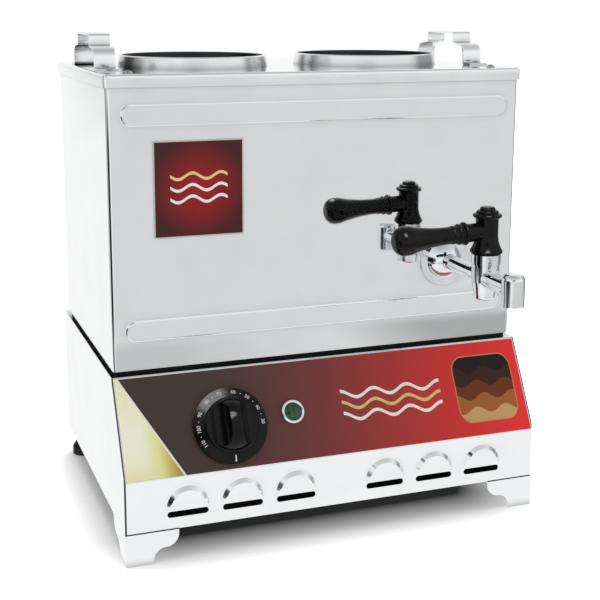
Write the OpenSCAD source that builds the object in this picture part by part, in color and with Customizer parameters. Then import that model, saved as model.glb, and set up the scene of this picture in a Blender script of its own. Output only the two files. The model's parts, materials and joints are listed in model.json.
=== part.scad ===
// Electric tea urn: a folded steel water tank with two pot collars, standing on a base with the controls.
// Front is -Y and up is +Z. The origin lies on the floor, under the middle of the outer box.

/* [Tank] */
// Width of the water tank
tank_w = 350; // [330:1:420]
// Depth of the water tank
tank_d = 212; // [200:1:260]
// Height from the tank's lower edge to the top of its cover
tank_h = 230.4; // [215:0.1:300]
// Thickness of the stainless sheet
sheet_t = 1; // [0.8:0.1:1.4]
// Outer radius of the tank's upright bends
tank_bend_r = 3; // [2.5:0.5:6]
// Width of the lip turned in at the tank's lower edge
tank_lip_w = 14; // [13:0.5:18]
// Thickness of the tank floor
tank_floor_t = 1.5; // [1:0.1:2.5]
// Height of the tank floor's top above the lip
tank_floor_rise = 14; // [12:0.5:24]
// Gap round pieces that drop into a folded shell
drop_gap = 0.2; // [0.1:0.05:0.4]

/* [Pressed ribs] */
// Distance from the tank's side to a rib's end
rib_end_gap = 10; // [6:0.5:40]
// Height of a rib on the panel
rib_w = 17.5; // [12:0.5:24]
// How far a rib stands out
rib_h = 2; // [1:0.1:3]
// Run of a rib's sloped flank
rib_flank = 1.6; // [1.2:0.1:5]
// Distance of a rib's middle from the tank's lower edge and from the top
rib_inset = 31.5; // [26:0.5:40]

/* [Badge] */
// Width of the plain badge plate
badge_w = 72; // [50:0.5:90]
// Height of the badge plate
badge_h = 75.5; // [50:0.5:90]
// Thickness of the badge plate
badge_t = 0.6; // [0.3:0.1:1.5]
// Distance from the tank's left side to the badge
badge_from_left = 35; // [20:0.5:60]
// Distance from the cover's top to the badge
badge_from_top = 51; // [48:0.5:80]

/* [Cover and collars] */
// Gap between the tank's wall and the cover's flange
cover_gap = 0.5; // [0.2:0.1:1.5]
// Height of the cover's flange
cover_flange_h = 10; // [7:0.5:14]
// Outer radius of the cover's bends
cover_edge_r = 2.5; // [1.8:0.1:4]
// How far the cover's top reaches down past its bend, to the skirt's weld
cover_seam = 0.5; // [0.2:0.1:2]
// Distance between the two collars' axes
collar_pitch = 158; // [140:1:160]
// Inner diameter of a collar
collar_bore_d = 118; // [100:0.5:120]
// Outer diameter of a collar's rim
collar_rim_d = 124; // [122.5:0.5:125]
// Outer diameter of a collar's foot
collar_base_d = 127; // [125.5:0.5:130]
// Bevel of a collar's rim
collar_edge = 0.8; // [0.4:0.1:1.2]
// Height of a collar above the cover
collar_h = 9.5; // [7:0.5:14]
// How far a collar reaches below the cover's sheet
collar_spigot_h = 3; // [1:0.5:5]

/* [Carrying handles] */
// Distance from the tank's side to a handle's strip
handle_side_gap = 3.5; // [0:0.5:6]
// Width of a handle's strip
strip_w = 17; // [12:0.5:20]
// Thickness of a handle's strip
strip_t = 1.5; // [1:0.1:2]
// Length over a handle's lower risers
handle_base = 92; // [80:1:120]
// Length of a handle's flat top
handle_top = 52; // [40:1:60]
// Height of a handle above the cover
handle_h = 28; // [26:0.5:40]
// Height of a handle's ledge
handle_ledge_h = 17; // [14:0.5:20]
// Rise of the ledge towards the upper riser
handle_ledge_rise = 2; // [0.5:0.5:4]
// Radius of a handle's shoulder bend
handle_shoulder_r = 8.5; // [5:0.5:9]
// Radius of a handle's other bends
handle_bend_r = 2.2; // [1.2:0.1:3]
// Length of a handle's foot flange
handle_flange = 13; // [11:0.5:18]

/* [Base] */
// Height of the feet
foot_h = 26; // [20:0.5:40]
// Height of the base, without its feet
base_h = 114; // [105:0.5:140]
// Thickness of the rubber frame between tank and base
seal_t = 3.3; // [2:0.1:5]
// Width of the rubber frame
seal_w = 10; // [8:0.5:12]
// How far the rubber frame lies inside the tank's face
seal_inset = 3; // [2:0.5:4]
// How far the base stands out at each side of the tank
base_side_lap = 2.5; // [1.5:0.1:6]
// How far the base stands out behind the tank
base_rear_lap = 9; // [2:0.5:15]
// How far the base's top front edge stands out before the tank
base_top_lap = 4.2; // [2:0.1:8]
// How far the control slope runs forward
slope_run = 39.6; // [30:0.1:50]
// Height of the upright louvre strip
strip_h = 42.4; // [40:0.1:46]
// Inner width of the deck that the rubber frame lies on, from the tank's face
deck_w = 16; // [15:0.5:20]
// Width of the lip that the base floor lies on
base_lip_w = 16; // [14:0.5:20]
// Mid-line radius of the front panel's bends
panel_bend_r = 1.5; // [1:0.1:3]
// Thickness of the base floor
base_floor_t = 1; // [0.8:0.1:2]
// Length of a vent slot in the base floor
vent_len = 60; // [40:1:70]
// Width of a vent slot
vent_w = 5; // [3:0.5:8]
// Distance between vent slots
vent_pitch = 40; // [20:1:50]
// Distance of the tank clamps from the tank's front and rear
clamp_inset = 40; // [25:1:70]

/* [Louvres] */
// Louvres in each of the two groups
louvre_count = 3; // [1:1:3]
// Distance between louvres of a group
louvre_pitch = 44.6; // [40:0.1:48]
// Distance from the middle of the base to the first louvre
louvre_first = 38.8; // [24:0.1:42]
// Half the width of a louvre's hood
louvre_r = 17; // [13:0.5:19]
// How far a hood stands out
louvre_rise = 2.5; // [2:0.5:5]
// Run of a hood's sloped flank
louvre_flank = 3; // [1.5:0.5:4]
// Where a hood's ramp reaches its full rise, above the middle of its arc
louvre_ramp = 5; // [2:0.5:8]
// Height of the open slot under a hood
louvre_slot_h = 5; // [4.5:0.1:8]
// Height of a slot's lower edge above the base's lower edge
louvre_slot_z = 10; // [6:0.5:11]
// Straight part of a hood above its slot
louvre_skirt = 2.5; // [1:0.5:3]

/* [Feet] */
// Thickness of a bracket foot's sheet
bracket_t = 1.5; // [1:0.1:2.5]
// Width of a bracket foot's front at its top
bracket_front_w = 42; // [38:0.5:48]
// Width of a bracket foot's side at its top
bracket_side_w = 46; // [38:0.5:48]
// Width of a bracket foot on the floor
bracket_floor_w = 21.5; // [18:0.5:28]
// Height of the turn in a bracket foot's curve
bracket_turn_h = 12.6; // [11:0.2:15]
// Diameter of a rear foot
rear_foot_d = 22; // [18:0.5:28]
// Diameter of a rear foot's neck
rear_foot_neck_d = 14; // [12:0.5:17]
// Height of a rear foot's wide disc
rear_foot_disc_h = 7; // [5:0.5:10]
// Distance of a rear foot's middle from the base's side and rear
rear_foot_inset = 13; // [10:0.5:15]

/* [Control label] */
// Thickness of the printed sheet
label_t = 0.4; // [0.2:0.1:0.8]
// Margin at the base's sides
label_side = 2; // [2:0.5:8]
// Margin under the slope's top edge
label_top = 1.5; // [1.4:0.1:6]
// Margin above the slope's lower edge
label_foot = 0.8; // [0.7:0.1:5]

/* [Thermostat] */
// Distance of the knob's axis from the base's left side
knob_from_left = 88.5; // [60:0.5:110]
// Distance of the knob's axis down the slope
knob_down = 47.5; // [44:0.5:49]
// Outer diameter of the knob's skirt
knob_skirt_d = 60; // [54:0.5:62]
// Diameter of the knob's raised disc
knob_disc_d = 44; // [40:0.5:48]
// Height of the knob above the panel
knob_h = 24; // [20:0.5:28]
// Width of the knob's grip bar
knob_bar_w = 9; // [6:0.5:12]
// Running gap under the knob's skirt
knob_gap = 0.8; // [0.5:0.1:1.5]
// Diameter of the thermostat's shaft
shaft_d = 6; // [5:0.5:7]
// Running clearance round shafts, on the radius
run_gap = 0.05; // [0.03:0.01:0.09]
// Width of the thermostat's body
stat_w = 42; // [38:1:48]
// Height of the thermostat's body
stat_h = 36; // [30:1:40]
// Depth of the thermostat's body
stat_depth = 26; // [24:1:32]
// Distance between the thermostat's two fixing screws
stat_screw_pitch = 28; // [24:0.5:32]
// Diameter of the thermostat's sensing bulb
bulb_d = 6; // [5:0.5:8]
// Length of the sensing bulb
bulb_len = 80; // [60:1:100]
// Distance of the capillary's gland behind the tank's face
capillary_back = 40; // [34:1:50]

/* [Pilot lamp] */
// Distance of the lamp's axis from the base's left side
lamp_from_left = 142; // [136:0.5:170]
// Distance of the lamp's axis down the slope
lamp_down = 42.4; // [30:0.1:50]
// Outer diameter of the lamp's bezel
lamp_bezel_d = 19.5; // [17:0.5:24]
// Diameter of the lamp's lens
lamp_lens_d = 14; // [12:0.5:15]
// Diameter of the lamp's body
lamp_body_d = 11; // [9:0.5:11.5]

/* [Tap] */
// Distance of the tap's axis from the tank's right side
tap_from_right = 65; // [50:0.5:90]
// Height of the tap's axis above the tank's lower edge
tap_up = 70.2; // [64:0.1:100]
// Distance of the valve's axis before the panel
tap_reach = 71.6; // [60:0.1:85]
// Distance of the spout's axis before the panel
spout_reach = 115; // [112:0.1:140]
// Outer diameter of the rosette's flange
rosette_d = 44; // [40:0.5:54]
// Diameter of the rosette's dome
rosette_dome_d = 34; // [30:0.5:38]
// How far the rosette stands out
rosette_rise = 11.5; // [9:0.5:14]
// Thickness of the rosette's flange
rosette_flange_t = 1.6; // [1:0.1:2.5]
// Outer diameter of the shank pipe
shank_d = 12.5; // [11:0.5:14]
// Bore of the waterway
water_d = 9; // [7:0.5:9.5]
// Outer diameter of the valve's body
valve_d = 22; // [21:0.5:26]
// Diameter of the valve's lower end
valve_foot_d = 18; // [17:0.5:20]
// Depth of the valve's body below the tap's axis
valve_below = 17.5; // [16:0.5:22]
// Height of the valve's body above the tap's axis
valve_above = 11.5; // [10.5:0.5:14]
// Diameter of the turning plug
plug_d = 15; // [13:0.5:15.5]
// Outer diameter of the bonnet
bonnet_d = 23.6; // [22:0.2:27]
// Height of the bonnet
bonnet_h = 8.7; // [7:0.1:12]
// Outer diameter of the spout's arm
arm_d = 13.5; // [12:0.5:13.5]
// Outer diameter of the spout's nozzle
nozzle_d = 18; // [16:0.5:22]
// Bore of the nozzle
nozzle_bore_d = 12; // [10:0.5:13]
// Depth of the nozzle below the tap's axis
nozzle_below = 13; // [10:0.5:20]
// Height of the nozzle above the tap's axis
nozzle_above = 12; // [12:0.5:18]
// Radius of the nozzle's rounded top
nozzle_top_r = 5; // [4:0.5:5]

/* [Tap lever] */
// Diameter of the hub's flared foot
hub_foot_d = 25.6; // [25:0.2:32]
// Diameter of the hub's waist
hub_waist_d = 18; // [17:0.5:22]
// Diameter of the hub's brim
hub_brim_d = 23; // [22:0.2:28]
// Height of the hub from its foot to its brim's top
hub_h = 31; // [28:0.5:36]
// Height of the hub's upright foot edge
hub_foot_h = 1.5; // [1:0.5:5]
// Height of the hub's bell, to its waist
hub_bell_h = 14.5; // [10:0.5:16]
// Running gap between bonnet and hub
hub_gap = 0.3; // [0.2:0.1:0.8]
// Diameter of the valve's stem
stem_d = 8; // [6:0.5:9]
// Height of the lever's axis above the hub's foot
lever_up = 17; // [15:0.5:20]
// Length of the lever from the stem's axis
lever_len = 80.7; // [70:0.1:100]
// Droop of the lever
lever_droop = 3; // [0:0.5:8]
// Diameter of the lever's root
lever_root_d = 14.5; // [12:0.5:16]
// Diameter of the lever's slim part
lever_neck_d = 13.6; // [10:0.2:14]
// Diameter of the lever's bulb
lever_bulb_d = 23; // [20:0.2:26]
// Length of the lever's bulb
lever_bulb_len = 12.7; // [12:0.1:18]
// Radius of the bulb's rounded end
lever_end_r = 8.5; // [6:0.5:9.5]
// Diameter of the lever's largest ring
lever_ring_d = 18.4; // [17.4:0.2:20]
// How much smaller each next ring is
lever_ring_step = 1.8; // [0:0.1:2]
// Distance of the first ring from the stem's axis
lever_ring_start = 20.2; // [20:0.1:26]
// Distance between the lever's rings
lever_ring_pitch = 5.1; // [4.6:0.1:8]

/* [Heater] */
// Diameter of the heating tube
element_d = 8.5; // [6.5:0.5:10]
// Height of the heating tube's middle above the tank floor
element_up = 16; // [14:0.5:24]
// Length of the heating loop
element_len = 276; // [200:1:300]
// Width of the heating loop
element_w = 72; // [50:1:110]
// Distance between the heating tube's two legs
element_leg_pitch = 44; // [36:1:70]
// Diameter of the threaded bushes
bush_d = 14; // [12:0.5:18]
// Height of the bushes' nuts
element_nut_h = 8; // [6:0.5:10]
// Length of a heater terminal with its tab
element_tab_h = 17; // [12:0.5:20]

/* [Cord gland] */
// How far the gland stands out behind the base
gland_out = 14; // [10:0.5:20]
// Bore for the mains cord
gland_bore_d = 8; // [6:0.5:10]
// Distance of the gland from the base's right side
gland_from_right = 50; // [35:1:90]
// Height of the gland above the base's lower edge
gland_up = 34; // [28:1:60]

/* [Wiring] */
// Distance of the terminal block from the base's right side
terminal_from_right = 117.5; // [90:0.5:150]
// Distance of the terminal block from the base's rear
terminal_from_rear = 60; // [40:1:90]
// Distance between the terminal block's ways
terminal_pitch = 11; // [9:0.5:14]
// Depth of the terminal block
terminal_d = 18; // [14:0.5:24]
// Height of the terminal block
terminal_h = 20; // [16:0.5:26]
// Distance of the earth stud from the base's right side
earth_from_right = 47.5; // [30:0.5:70]
// Distance of the earth stud from the base's rear
earth_from_rear = 90; // [60:1:120]
// Diameter of a lead
wire_d = 2.6; // [2:0.1:4]
// How far a lead runs before its first turn
wire_turn = 30; // [15:1:45]

/* [Fasteners] */
// Diameter of the small screws
screw_d = 4; // [3:0.5:4.5]
// Diameter of a small screw's head
screw_head_d = 7.6; // [7:0.2:8.4]
// Height of a small screw's head
screw_head_h = 2.4; // [1.8:0.1:2.8]
// Clearance of a screw in its hole, on the radius
screw_gap = 0.25; // [0.15:0.05:0.4]
// Width across the flats of a small nut
nut_af = 7; // [6:0.5:7.5]
// Height of a small nut
nut_h = 3.2; // [2.4:0.1:4]

/* [Hidden] */
$fn = 64;
eps = 0.01;
bend_steps = 8;
skin = 1;

// Levels above the floor
base_top = foot_h + base_h;
tank_z = base_top + seal_t;
top_z = tank_z + tank_h;
cover_under = top_z - sheet_t;
floor_top = tank_z + sheet_t + tank_floor_rise;
floor_under = floor_top - tank_floor_t;
base_floor_z = foot_h + sheet_t;
base_floor_top = base_floor_z + base_floor_t;

// Places from front to rear
rear_reach = tank_d + base_rear_lap + gland_out;
front_y = (spout_reach + nozzle_d / 2 - rear_reach) / 2;
tank_cy = front_y + tank_d / 2;
slope_top_y = front_y - base_top_lap;
strip_y = slope_top_y - slope_run;
base_rear_y = front_y + tank_d + base_rear_lap;
base_d = base_rear_y - strip_y;
base_cy = (base_rear_y + strip_y) / 2;

// Widths
base_w = tank_w + 2 * base_side_lap;
cover_lap = cover_gap + sheet_t;
cover_w = tank_w + 2 * cover_lap;
cover_seam_z = top_z - cover_edge_r - cover_seam;
cover_d = tank_d + 2 * cover_lap;
deck_hole_w = tank_w - 2 * deck_w;

// Control slope
slope_rise = base_h - strip_h;
slope_len = norm([slope_run, slope_rise]);
slope_a = atan2(slope_run, slope_rise);
knob_x = knob_from_left - base_w / 2;
lamp_x = lamp_from_left - base_w / 2;

// Ribs
rib_len = tank_w - 2 * rib_end_gap;
rib_levels = [tank_z + rib_inset, top_z - rib_inset];
rib_shrink = sheet_t * (norm([rib_flank, rib_h]) - rib_flank) / rib_h;

// Carrying handles
handle_x = tank_w / 2 - handle_side_gap - strip_w / 2;
handle_screw_y = handle_base / 2 + handle_flange / 2 + strip_t / 4;

// Cover screws
cover_screw_x = tank_w / 2 - 20;
cover_screw_in = 12;

// Tank clamps
clamp_x = tank_w / 2 - seal_inset - seal_w / 2;
clamp_places = [for (x = [-clamp_x, clamp_x], y = [clamp_inset, tank_d - clamp_inset]) [x, front_y + y]];

// Tap levels, measured from the tap's axis
tap_x = tank_w / 2 - tap_from_right;
tap_z = tank_z + tap_up;
tap_y = front_y - tap_reach;
spout_y = front_y - spout_reach;
bonnet_top = valve_above + bonnet_h;
hub_foot = bonnet_top + hub_gap;
hub_top = hub_foot + hub_h;
stem_top = hub_top - 9;
boss_len = 4;
socket_len = 6;

// Tap fixing through the tank's wall
tap_seal_t = 1.5;
tap_seal_d = 22;
shank_flange_t = 3;
tap_nut_h = 7;
shank_in = sheet_t + tap_seal_t + tap_nut_h + 4;

// Thermostat, along the slope's normal
stat_bush_d = 9.6;
stat_bush_out = label_t + 0.8;
shaft_in = 18;
knob_foot = label_t + knob_gap;
knob_skirt_t = 3;
knob_disc_z = knob_foot + 5;
knob_deck_z = knob_disc_z + 3;
shaft_out = knob_h - 6;

// Heater
element_z = floor_top + element_up;
element_bend = element_w / 2;
element_cy = tank_cy;
element_leg_y = element_cy - element_w / 2;
element_leg_bend = element_up - 4;
element_run = element_len / 2 - element_bend;
bush_flange_d = bush_d + 8;
bush_flange_t = 3;
element_seal_t = 1.5;
bush_below = 14;

// Capillary
capillary_d = 2;
capillary_y = front_y + capillary_back;
capillary_gland_d = 10;
bulb_z = floor_top + 9;

// Feet
bracket_lip = bracket_front_w - 6;
rear_foot_places = [for (x = [-1, 1]) [x * (base_w / 2 - rear_foot_inset), base_rear_y - rear_foot_inset]];
bracket_screw_in = 11;
floor_screw_in = base_lip_w / 2;
floor_screw_places = [
  [-base_w / 2 + floor_screw_in, base_cy],
  [base_w / 2 - floor_screw_in, base_cy],
  [0, base_rear_y - floor_screw_in],
  [0, strip_y + floor_screw_in]
];

// Cord gland
gland_x = base_w / 2 - gland_from_right;
gland_z = foot_h + gland_up;
gland_thread_d = gland_bore_d + 7;
gland_flange_t = 4;
gland_af = gland_thread_d + 7;

// Louvres
louvre_shrink = sheet_t * (norm([louvre_flank, louvre_rise]) - louvre_flank) / louvre_rise;
louvre_slot_top = foot_h + louvre_slot_z + louvre_slot_h;
louvre_hood_z = louvre_slot_top + louvre_skirt;
louvre_places = [
  for (side = [-1, 1], i = [0 : louvre_count - 1]) side * (louvre_first + i * louvre_pitch)
];

// Frames of reference

// Local z points out of the tank's front
module on_front(x, z) {
  translate([x, front_y, z])
    rotate([90, 0, 0])
      children();
}

// Local z points out of the louvre strip
module on_strip(x, z) {
  translate([x, strip_y, z])
    rotate([90, 0, 0])
      children();
}

// Local z is the slope's outward normal and local y runs up the slope
module on_slope(x, down) {
  translate([x, slope_top_y, base_top])
    rotate([90 - slope_a, 0, 0])
      translate([0, -down, 0])
        children();
}

// The tap's axis on the tank's front
module at_tap() {
  on_front(tap_x, tap_z) children();
}

// The valve's upright axis, at the height of the tap's axis
module at_valve() {
  translate([tap_x, tap_y, tap_z]) children();
}

// A profile drawn in Y and Z, drawn out along X and centred
module along_x(length) {
  translate([-length / 2, 0, 0])
    rotate([90, 0, 90])
      linear_extrude(length)
        children();
}

// Shared shapes

module rounded_rect(w, d, r) {
  square([w, d - 2 * r], center = true);
  square([w - 2 * r, d], center = true);
  for (x = [-1, 1], y = [-1, 1])
    translate([x * (w / 2 - r), y * (d / 2 - r)])
      circle(r);
}

// A slot with round ends, its length along local y
module stadium(w, length) {
  square([w, length - w], center = true);
  for (y = [-1, 1])
    translate([0, y * (length - w) / 2])
      circle(d = w);
}

// A box whose upright and upper edges are all rounded
module soft_top_box(w, d, h, r) {
  linear_extrude(h - r) rounded_rect(w, d, r);
  linear_extrude(h) square([w - 2 * r, d - 2 * r], center = true);
  for (x = [-1, 1], y = [-1, 1])
    translate([x * (w / 2 - r), y * (d / 2 - r), h - r])
      sphere(r);
  for (x = [-1, 1])
    translate([x * (w / 2 - r), 0, h - r])
      rotate([90, 0, 0])
        cylinder(h = d - 2 * r, r = r, center = true);
  for (y = [-1, 1])
    translate([0, y * (d / 2 - r), h - r])
      rotate([0, 90, 0])
        cylinder(h = w - 2 * r, r = r, center = true);
}

function unit(v) = v / norm(v);
function turn_angle(u, v) = acos(max(-1, min(1, u * v)));

function turn_sign(u, v) = sign(u.x * v.y - u.y * v.x);
function spun(v, a) = [v.x * cos(a) - v.y * sin(a), v.x * sin(a) + v.y * cos(a)];

// Points of one bend, a distance off to the left of the sheet's mid-line
function bend_points(p, u, v, r, off) =
  let (
    a = turn_angle(u, v),
    s = turn_sign(u, v),
    cut = r * tan(a / 2),
    centre = p + unit(v - u) * norm([r, cut]),
    arm = unit(p - u * cut - centre)
  )
  [for (k = [0 : bend_steps]) centre + (r - s * off) * spun(arm, s * a * k / bend_steps)];

// One side of a bent sheet, a distance off to the left of its mid-line
function sheet_side(path, radii, off) =
  let (
    last = len(path) - 1,
    dirs = [for (i = [0 : last - 1]) unit(path[i + 1] - path[i])]
  )
  concat(
    [path[0] + off * spun(dirs[0], 90)],
    [for (i = [1 : last - 1]) each bend_points(path[i], dirs[i - 1], dirs[i], radii[i - 1], off)],
    [path[last] + off * spun(dirs[last - 1], 90)]
  );

// A sheet of thickness t bent along a flat path, with a bend radius at each inner point
module bent_sheet(path, radii, t) {
  left = sheet_side(path, radii, t / 2);
  right = sheet_side(path, radii, -t / 2);
  polygon(concat(left, [for (i = [len(right) - 1 : -1 : 0]) right[i]]));
}

// A round bar along a path in space, with one bend radius
module bent_bar(path, r, bend) {
  last = len(path) - 1;
  dirs = [for (i = [0 : last - 1]) unit(path[i + 1] - path[i])];
  cuts = [for (i = [0 : last]) (i == 0 || i == last) ? 0
    : bend * tan(turn_angle(dirs[i - 1], dirs[i]) / 2)];
  for (i = [0 : last - 1])
    straight_bar(path[i] + dirs[i] * cuts[i], path[i + 1] - dirs[i] * cuts[i + 1], r);
  for (i = [1 : last - 1])
    bar_bend(path[i], dirs[i - 1], dirs[i], cuts[i], r, bend);
}

// A thin lead along a path in space, with a ball at each corner
module lead(path, r) {
  last = len(path) - 1;
  for (i = [0 : last - 1])
    straight_bar(path[i], path[i + 1], r);
  for (i = [1 : last - 1])
    translate(path[i])
      sphere(1.1 * r);
}

module straight_bar(a, b, r) {
  v = b - a;
  translate(a)
    rotate([0, acos(v.z / norm(v)), atan2(v.y, v.x)])
      cylinder(h = norm(v), r = r);
}

module bar_bend(p, u, v, cut, r, bend) {
  centre = p + unit(v - u) * norm([bend, cut]);
  e1 = unit(p - u * cut - centre);
  e3 = cross(e1, u);
  multmatrix([
    [e1.x, u.x, e3.x, centre.x],
    [e1.y, u.y, e3.y, centre.y],
    [e1.z, u.z, e3.z, centre.z],
    [0, 0, 0, 1]
  ])
    rotate_extrude(angle = turn_angle(u, v))
      translate([bend, 0])
        circle(r);
}

// Head on the local z = 0 plane, shank downwards
module dome_screw(length, d = screw_d, head_d = screw_head_d, head_h = screw_head_h) {
  ball = (head_d * head_d / 4 + head_h * head_h) / (2 * head_h);
  translate([0, 0, -length]) cylinder(h = length + eps, d = d);
  intersection() {
    translate([0, 0, head_h - ball]) sphere(ball);
    cylinder(h = head_h, d = head_d);
  }
}

module hex_nut(af, h, hole_d) {
  difference() {
    cylinder(h = h, d = af / cos(30), $fn = 6);
    translate([0, 0, -1]) cylinder(h = h + 2, d = hole_d);
  }
}

module ring(od, id, h) {
  difference() {
    cylinder(h = h, d = od);
    translate([0, 0, -1]) cylinder(h = h + 2, d = id);
  }
}

// Tank

// Local x runs along the rib and local z stands out; root is added depth behind the panel
module rib_form(w, root) {
  run = rib_len - rib_w;
  along_x(run)
    polygon([[-w / 2, -root], [w / 2, -root], [w / 2, 0], [w / 2 - rib_flank, rib_h],
      [rib_flank - w / 2, rib_h], [-w / 2, 0]]);
  for (x = [-run / 2, run / 2])
    translate([x, 0, 0]) {
      cylinder(h = rib_h, r1 = w / 2, r2 = w / 2 - rib_flank);
      translate([0, 0, -root]) cylinder(h = root, d = w);
    }
}

module tank_shell() {
  color("silver")
    difference() {
      union() {
        translate([0, tank_cy, tank_z])
          linear_extrude(tank_h - cover_edge_r)
            rounded_rect(tank_w, tank_d, tank_bend_r);
        for (z = rib_levels)
          on_front(0, z) rib_form(rib_w, sheet_t / 2);
      }
      translate([0, tank_cy, tank_z + sheet_t])
        linear_extrude(tank_h)
          rounded_rect(tank_w - 2 * sheet_t, tank_d - 2 * sheet_t, tank_bend_r - sheet_t);
      for (z = rib_levels)
        on_front(0, z)
          translate([0, 0, -sheet_t])
            rib_form(rib_w - 2 * rib_shrink, 1);
      translate([0, tank_cy, tank_z - 1])
        linear_extrude(sheet_t + 2)
          rounded_rect(tank_w - 2 * tank_lip_w, tank_d - 2 * tank_lip_w, tank_bend_r);
      at_tap()
        translate([0, 0, -2 * sheet_t])
          cylinder(h = 4 * sheet_t, d = shank_d + 2 * screw_gap);
      clamp_holes(tank_z - 1, sheet_t + 2);
    }
}

module clamp_holes(z, h) {
  for (p = clamp_places)
    translate([p.x, p.y, z])
      cylinder(h = h, d = screw_d + 2 * screw_gap);
}

// An upturned tray, welded in with its rim down on the lip
module tank_floor() {
  w = tank_w - 2 * sheet_t - 2 * drop_gap;
  d = tank_d - 2 * sheet_t - 2 * drop_gap;
  r = tank_bend_r - sheet_t;
  color("silver")
    difference() {
      translate([0, tank_cy, tank_z + sheet_t])
        linear_extrude(tank_floor_rise)
          rounded_rect(w, d, r);
      translate([0, tank_cy, tank_z + sheet_t - 1])
        linear_extrude(tank_floor_rise - tank_floor_t + 1)
          square([w - 2 * tank_floor_t, d - 2 * tank_floor_t], center = true);
      for (x = [-1, 1])
        translate([x * element_leg_pitch / 2, element_leg_y, floor_under - 1])
          cylinder(h = tank_floor_t + 2, d = bush_d + 2 * screw_gap);
      translate([knob_x, capillary_y, floor_under - 1])
        cylinder(h = tank_floor_t + 2, d = capillary_gland_d + 2 * screw_gap);
    }
}

// Cover and collars

module collar_places() {
  for (x = [-1, 1])
    translate([x * collar_pitch / 2, tank_cy, 0])
      children();
}

module top_cover() {
  h = cover_flange_h;
  color("silver")
    difference() {
      translate([0, tank_cy, top_z - h])
        soft_top_box(cover_w, cover_d, h, cover_edge_r);
      translate([0, tank_cy, top_z - h - sheet_t])
        soft_top_box(cover_w - 2 * sheet_t, cover_d - 2 * sheet_t, h, cover_edge_r - sheet_t);
      translate([-cover_w, tank_cy - cover_d, cover_seam_z - h])
        cube([2 * cover_w, 2 * cover_d, h]);
      translate([0, 0, top_z - h])
        collar_places()
          cylinder(h = h + 1, d = collar_bore_d + 2 * skin + 2 * drop_gap);
      handle_screw_places(cover_under - 1)
        cylinder(h = sheet_t + 2, d = screw_d + 2 * screw_gap);
      cover_screw_places(cover_under - 1)
        cylinder(h = sheet_t + 2, d = screw_d + 2 * screw_gap);
    }
}

// The straight lower part of the cover's flange, round the tank's top
module cover_skirt() {
  color("silver")
    translate([0, tank_cy, top_z - cover_flange_h])
      linear_extrude(cover_flange_h - cover_edge_r - cover_seam - run_gap)
        difference() {
          rounded_rect(cover_w, cover_d, cover_edge_r);
          rounded_rect(cover_w - 2 * sheet_t, cover_d - 2 * sheet_t, cover_edge_r - sheet_t);
        }
}

// A spun ring: straight inner wall, rolled rim and a hollow waist outside
module collar_section() {
  bore = collar_bore_d / 2;
  rim = collar_rim_d / 2;
  foot = -sheet_t - collar_spigot_h;
  polygon([[bore, foot], [bore + skin, foot], [bore + skin, 0], [collar_base_d / 2, 0],
    [rim, collar_h - collar_edge], [rim - collar_edge, collar_h],
    [bore + collar_edge, collar_h], [bore, collar_h - collar_edge]]);
}

module pot_collar(side) {
  color("gainsboro")
    translate([side * collar_pitch / 2, tank_cy, top_z])
      rotate_extrude()
        collar_section();
}

module pot_collar_left() {
  pot_collar(-1);
}

module pot_collar_right() {
  pot_collar(1);
}

// Handles

module handle_screw_places(z) {
  for (x = [-handle_x, handle_x], y = [-handle_screw_y, handle_screw_y])
    translate([x, tank_cy + y, z])
      children();
}

module cover_screw_places(z) {
  for (x = [-cover_screw_x, cover_screw_x], y = [front_y + cover_screw_in, front_y + tank_d - cover_screw_in])
    translate([x, y, z])
      children();
}

// The strip's mid-line from its front foot to its rear foot, with the cover's top at 0
module handle_profile() {
  t = strip_t / 2;
  low = handle_base / 2 - t;
  high = handle_top / 2 - t;
  half = [
    [-low - handle_flange, t],
    [-low, t],
    [-low, handle_ledge_h - t],
    [-high, handle_ledge_h - t + handle_ledge_rise],
    [-high, handle_h - t]
  ];
  bends = [handle_bend_r, handle_shoulder_r, handle_bend_r, handle_bend_r];
  path = concat(half, [for (i = [4 : -1 : 0]) [-half[i].x, half[i].y]]);
  radii = concat(bends, [for (i = [3 : -1 : 0]) bends[i]]);
  bent_sheet(path, radii, strip_t);
}

module carry_handle(side) {
  color("silver")
    difference() {
      translate([side * handle_x, tank_cy, top_z])
        along_x(strip_w)
          handle_profile();
      handle_screw_places(top_z - 1)
        cylinder(h = strip_t + 2, d = screw_d + 2 * screw_gap);
    }
}

module carry_handle_left() {
  carry_handle(-1);
}

module carry_handle_right() {
  carry_handle(1);
}

module handle_screws() {
  color("gray")
    handle_screw_places(top_z + strip_t)
      dome_screw(strip_t + sheet_t + nut_h + 0.5);
}

module handle_nuts() {
  color("gray")
    handle_screw_places(cover_under - nut_h)
      hex_nut(nut_af, nut_h, screw_d + 2 * run_gap);
}

module cover_screws() {
  color("gray")
    cover_screw_places(top_z)
      dome_screw(sheet_t + 5);
}

// Badge

module badge_plate() {
  color("darkred")
    on_front(-tank_w / 2 + badge_from_left + badge_w / 2, top_z - badge_from_top - badge_h / 2)
      translate([-badge_w / 2, -badge_h / 2, 0])
        cube([badge_w, badge_h, badge_t]);
}

// Base

module base_seal() {
  w = tank_w - 2 * seal_inset;
  d = tank_d - 2 * seal_inset;
  color([0.08, 0.08, 0.08])
    difference() {
      translate([0, tank_cy, base_top])
        linear_extrude(seal_t)
          difference() {
            square([w, d], center = true);
            square([w - 2 * seal_w, d - 2 * seal_w], center = true);
          }
      clamp_holes(base_top - 1, seal_t + 2);
    }
}

// Outline of the base's side, in Y and Z
module base_side_outline() {
  polygon([
    [strip_y, foot_h],
    [base_rear_y, foot_h],
    [base_rear_y, base_top],
    [slope_top_y, base_top],
    [strip_y, foot_h + strip_h]
  ]);
}

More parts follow.
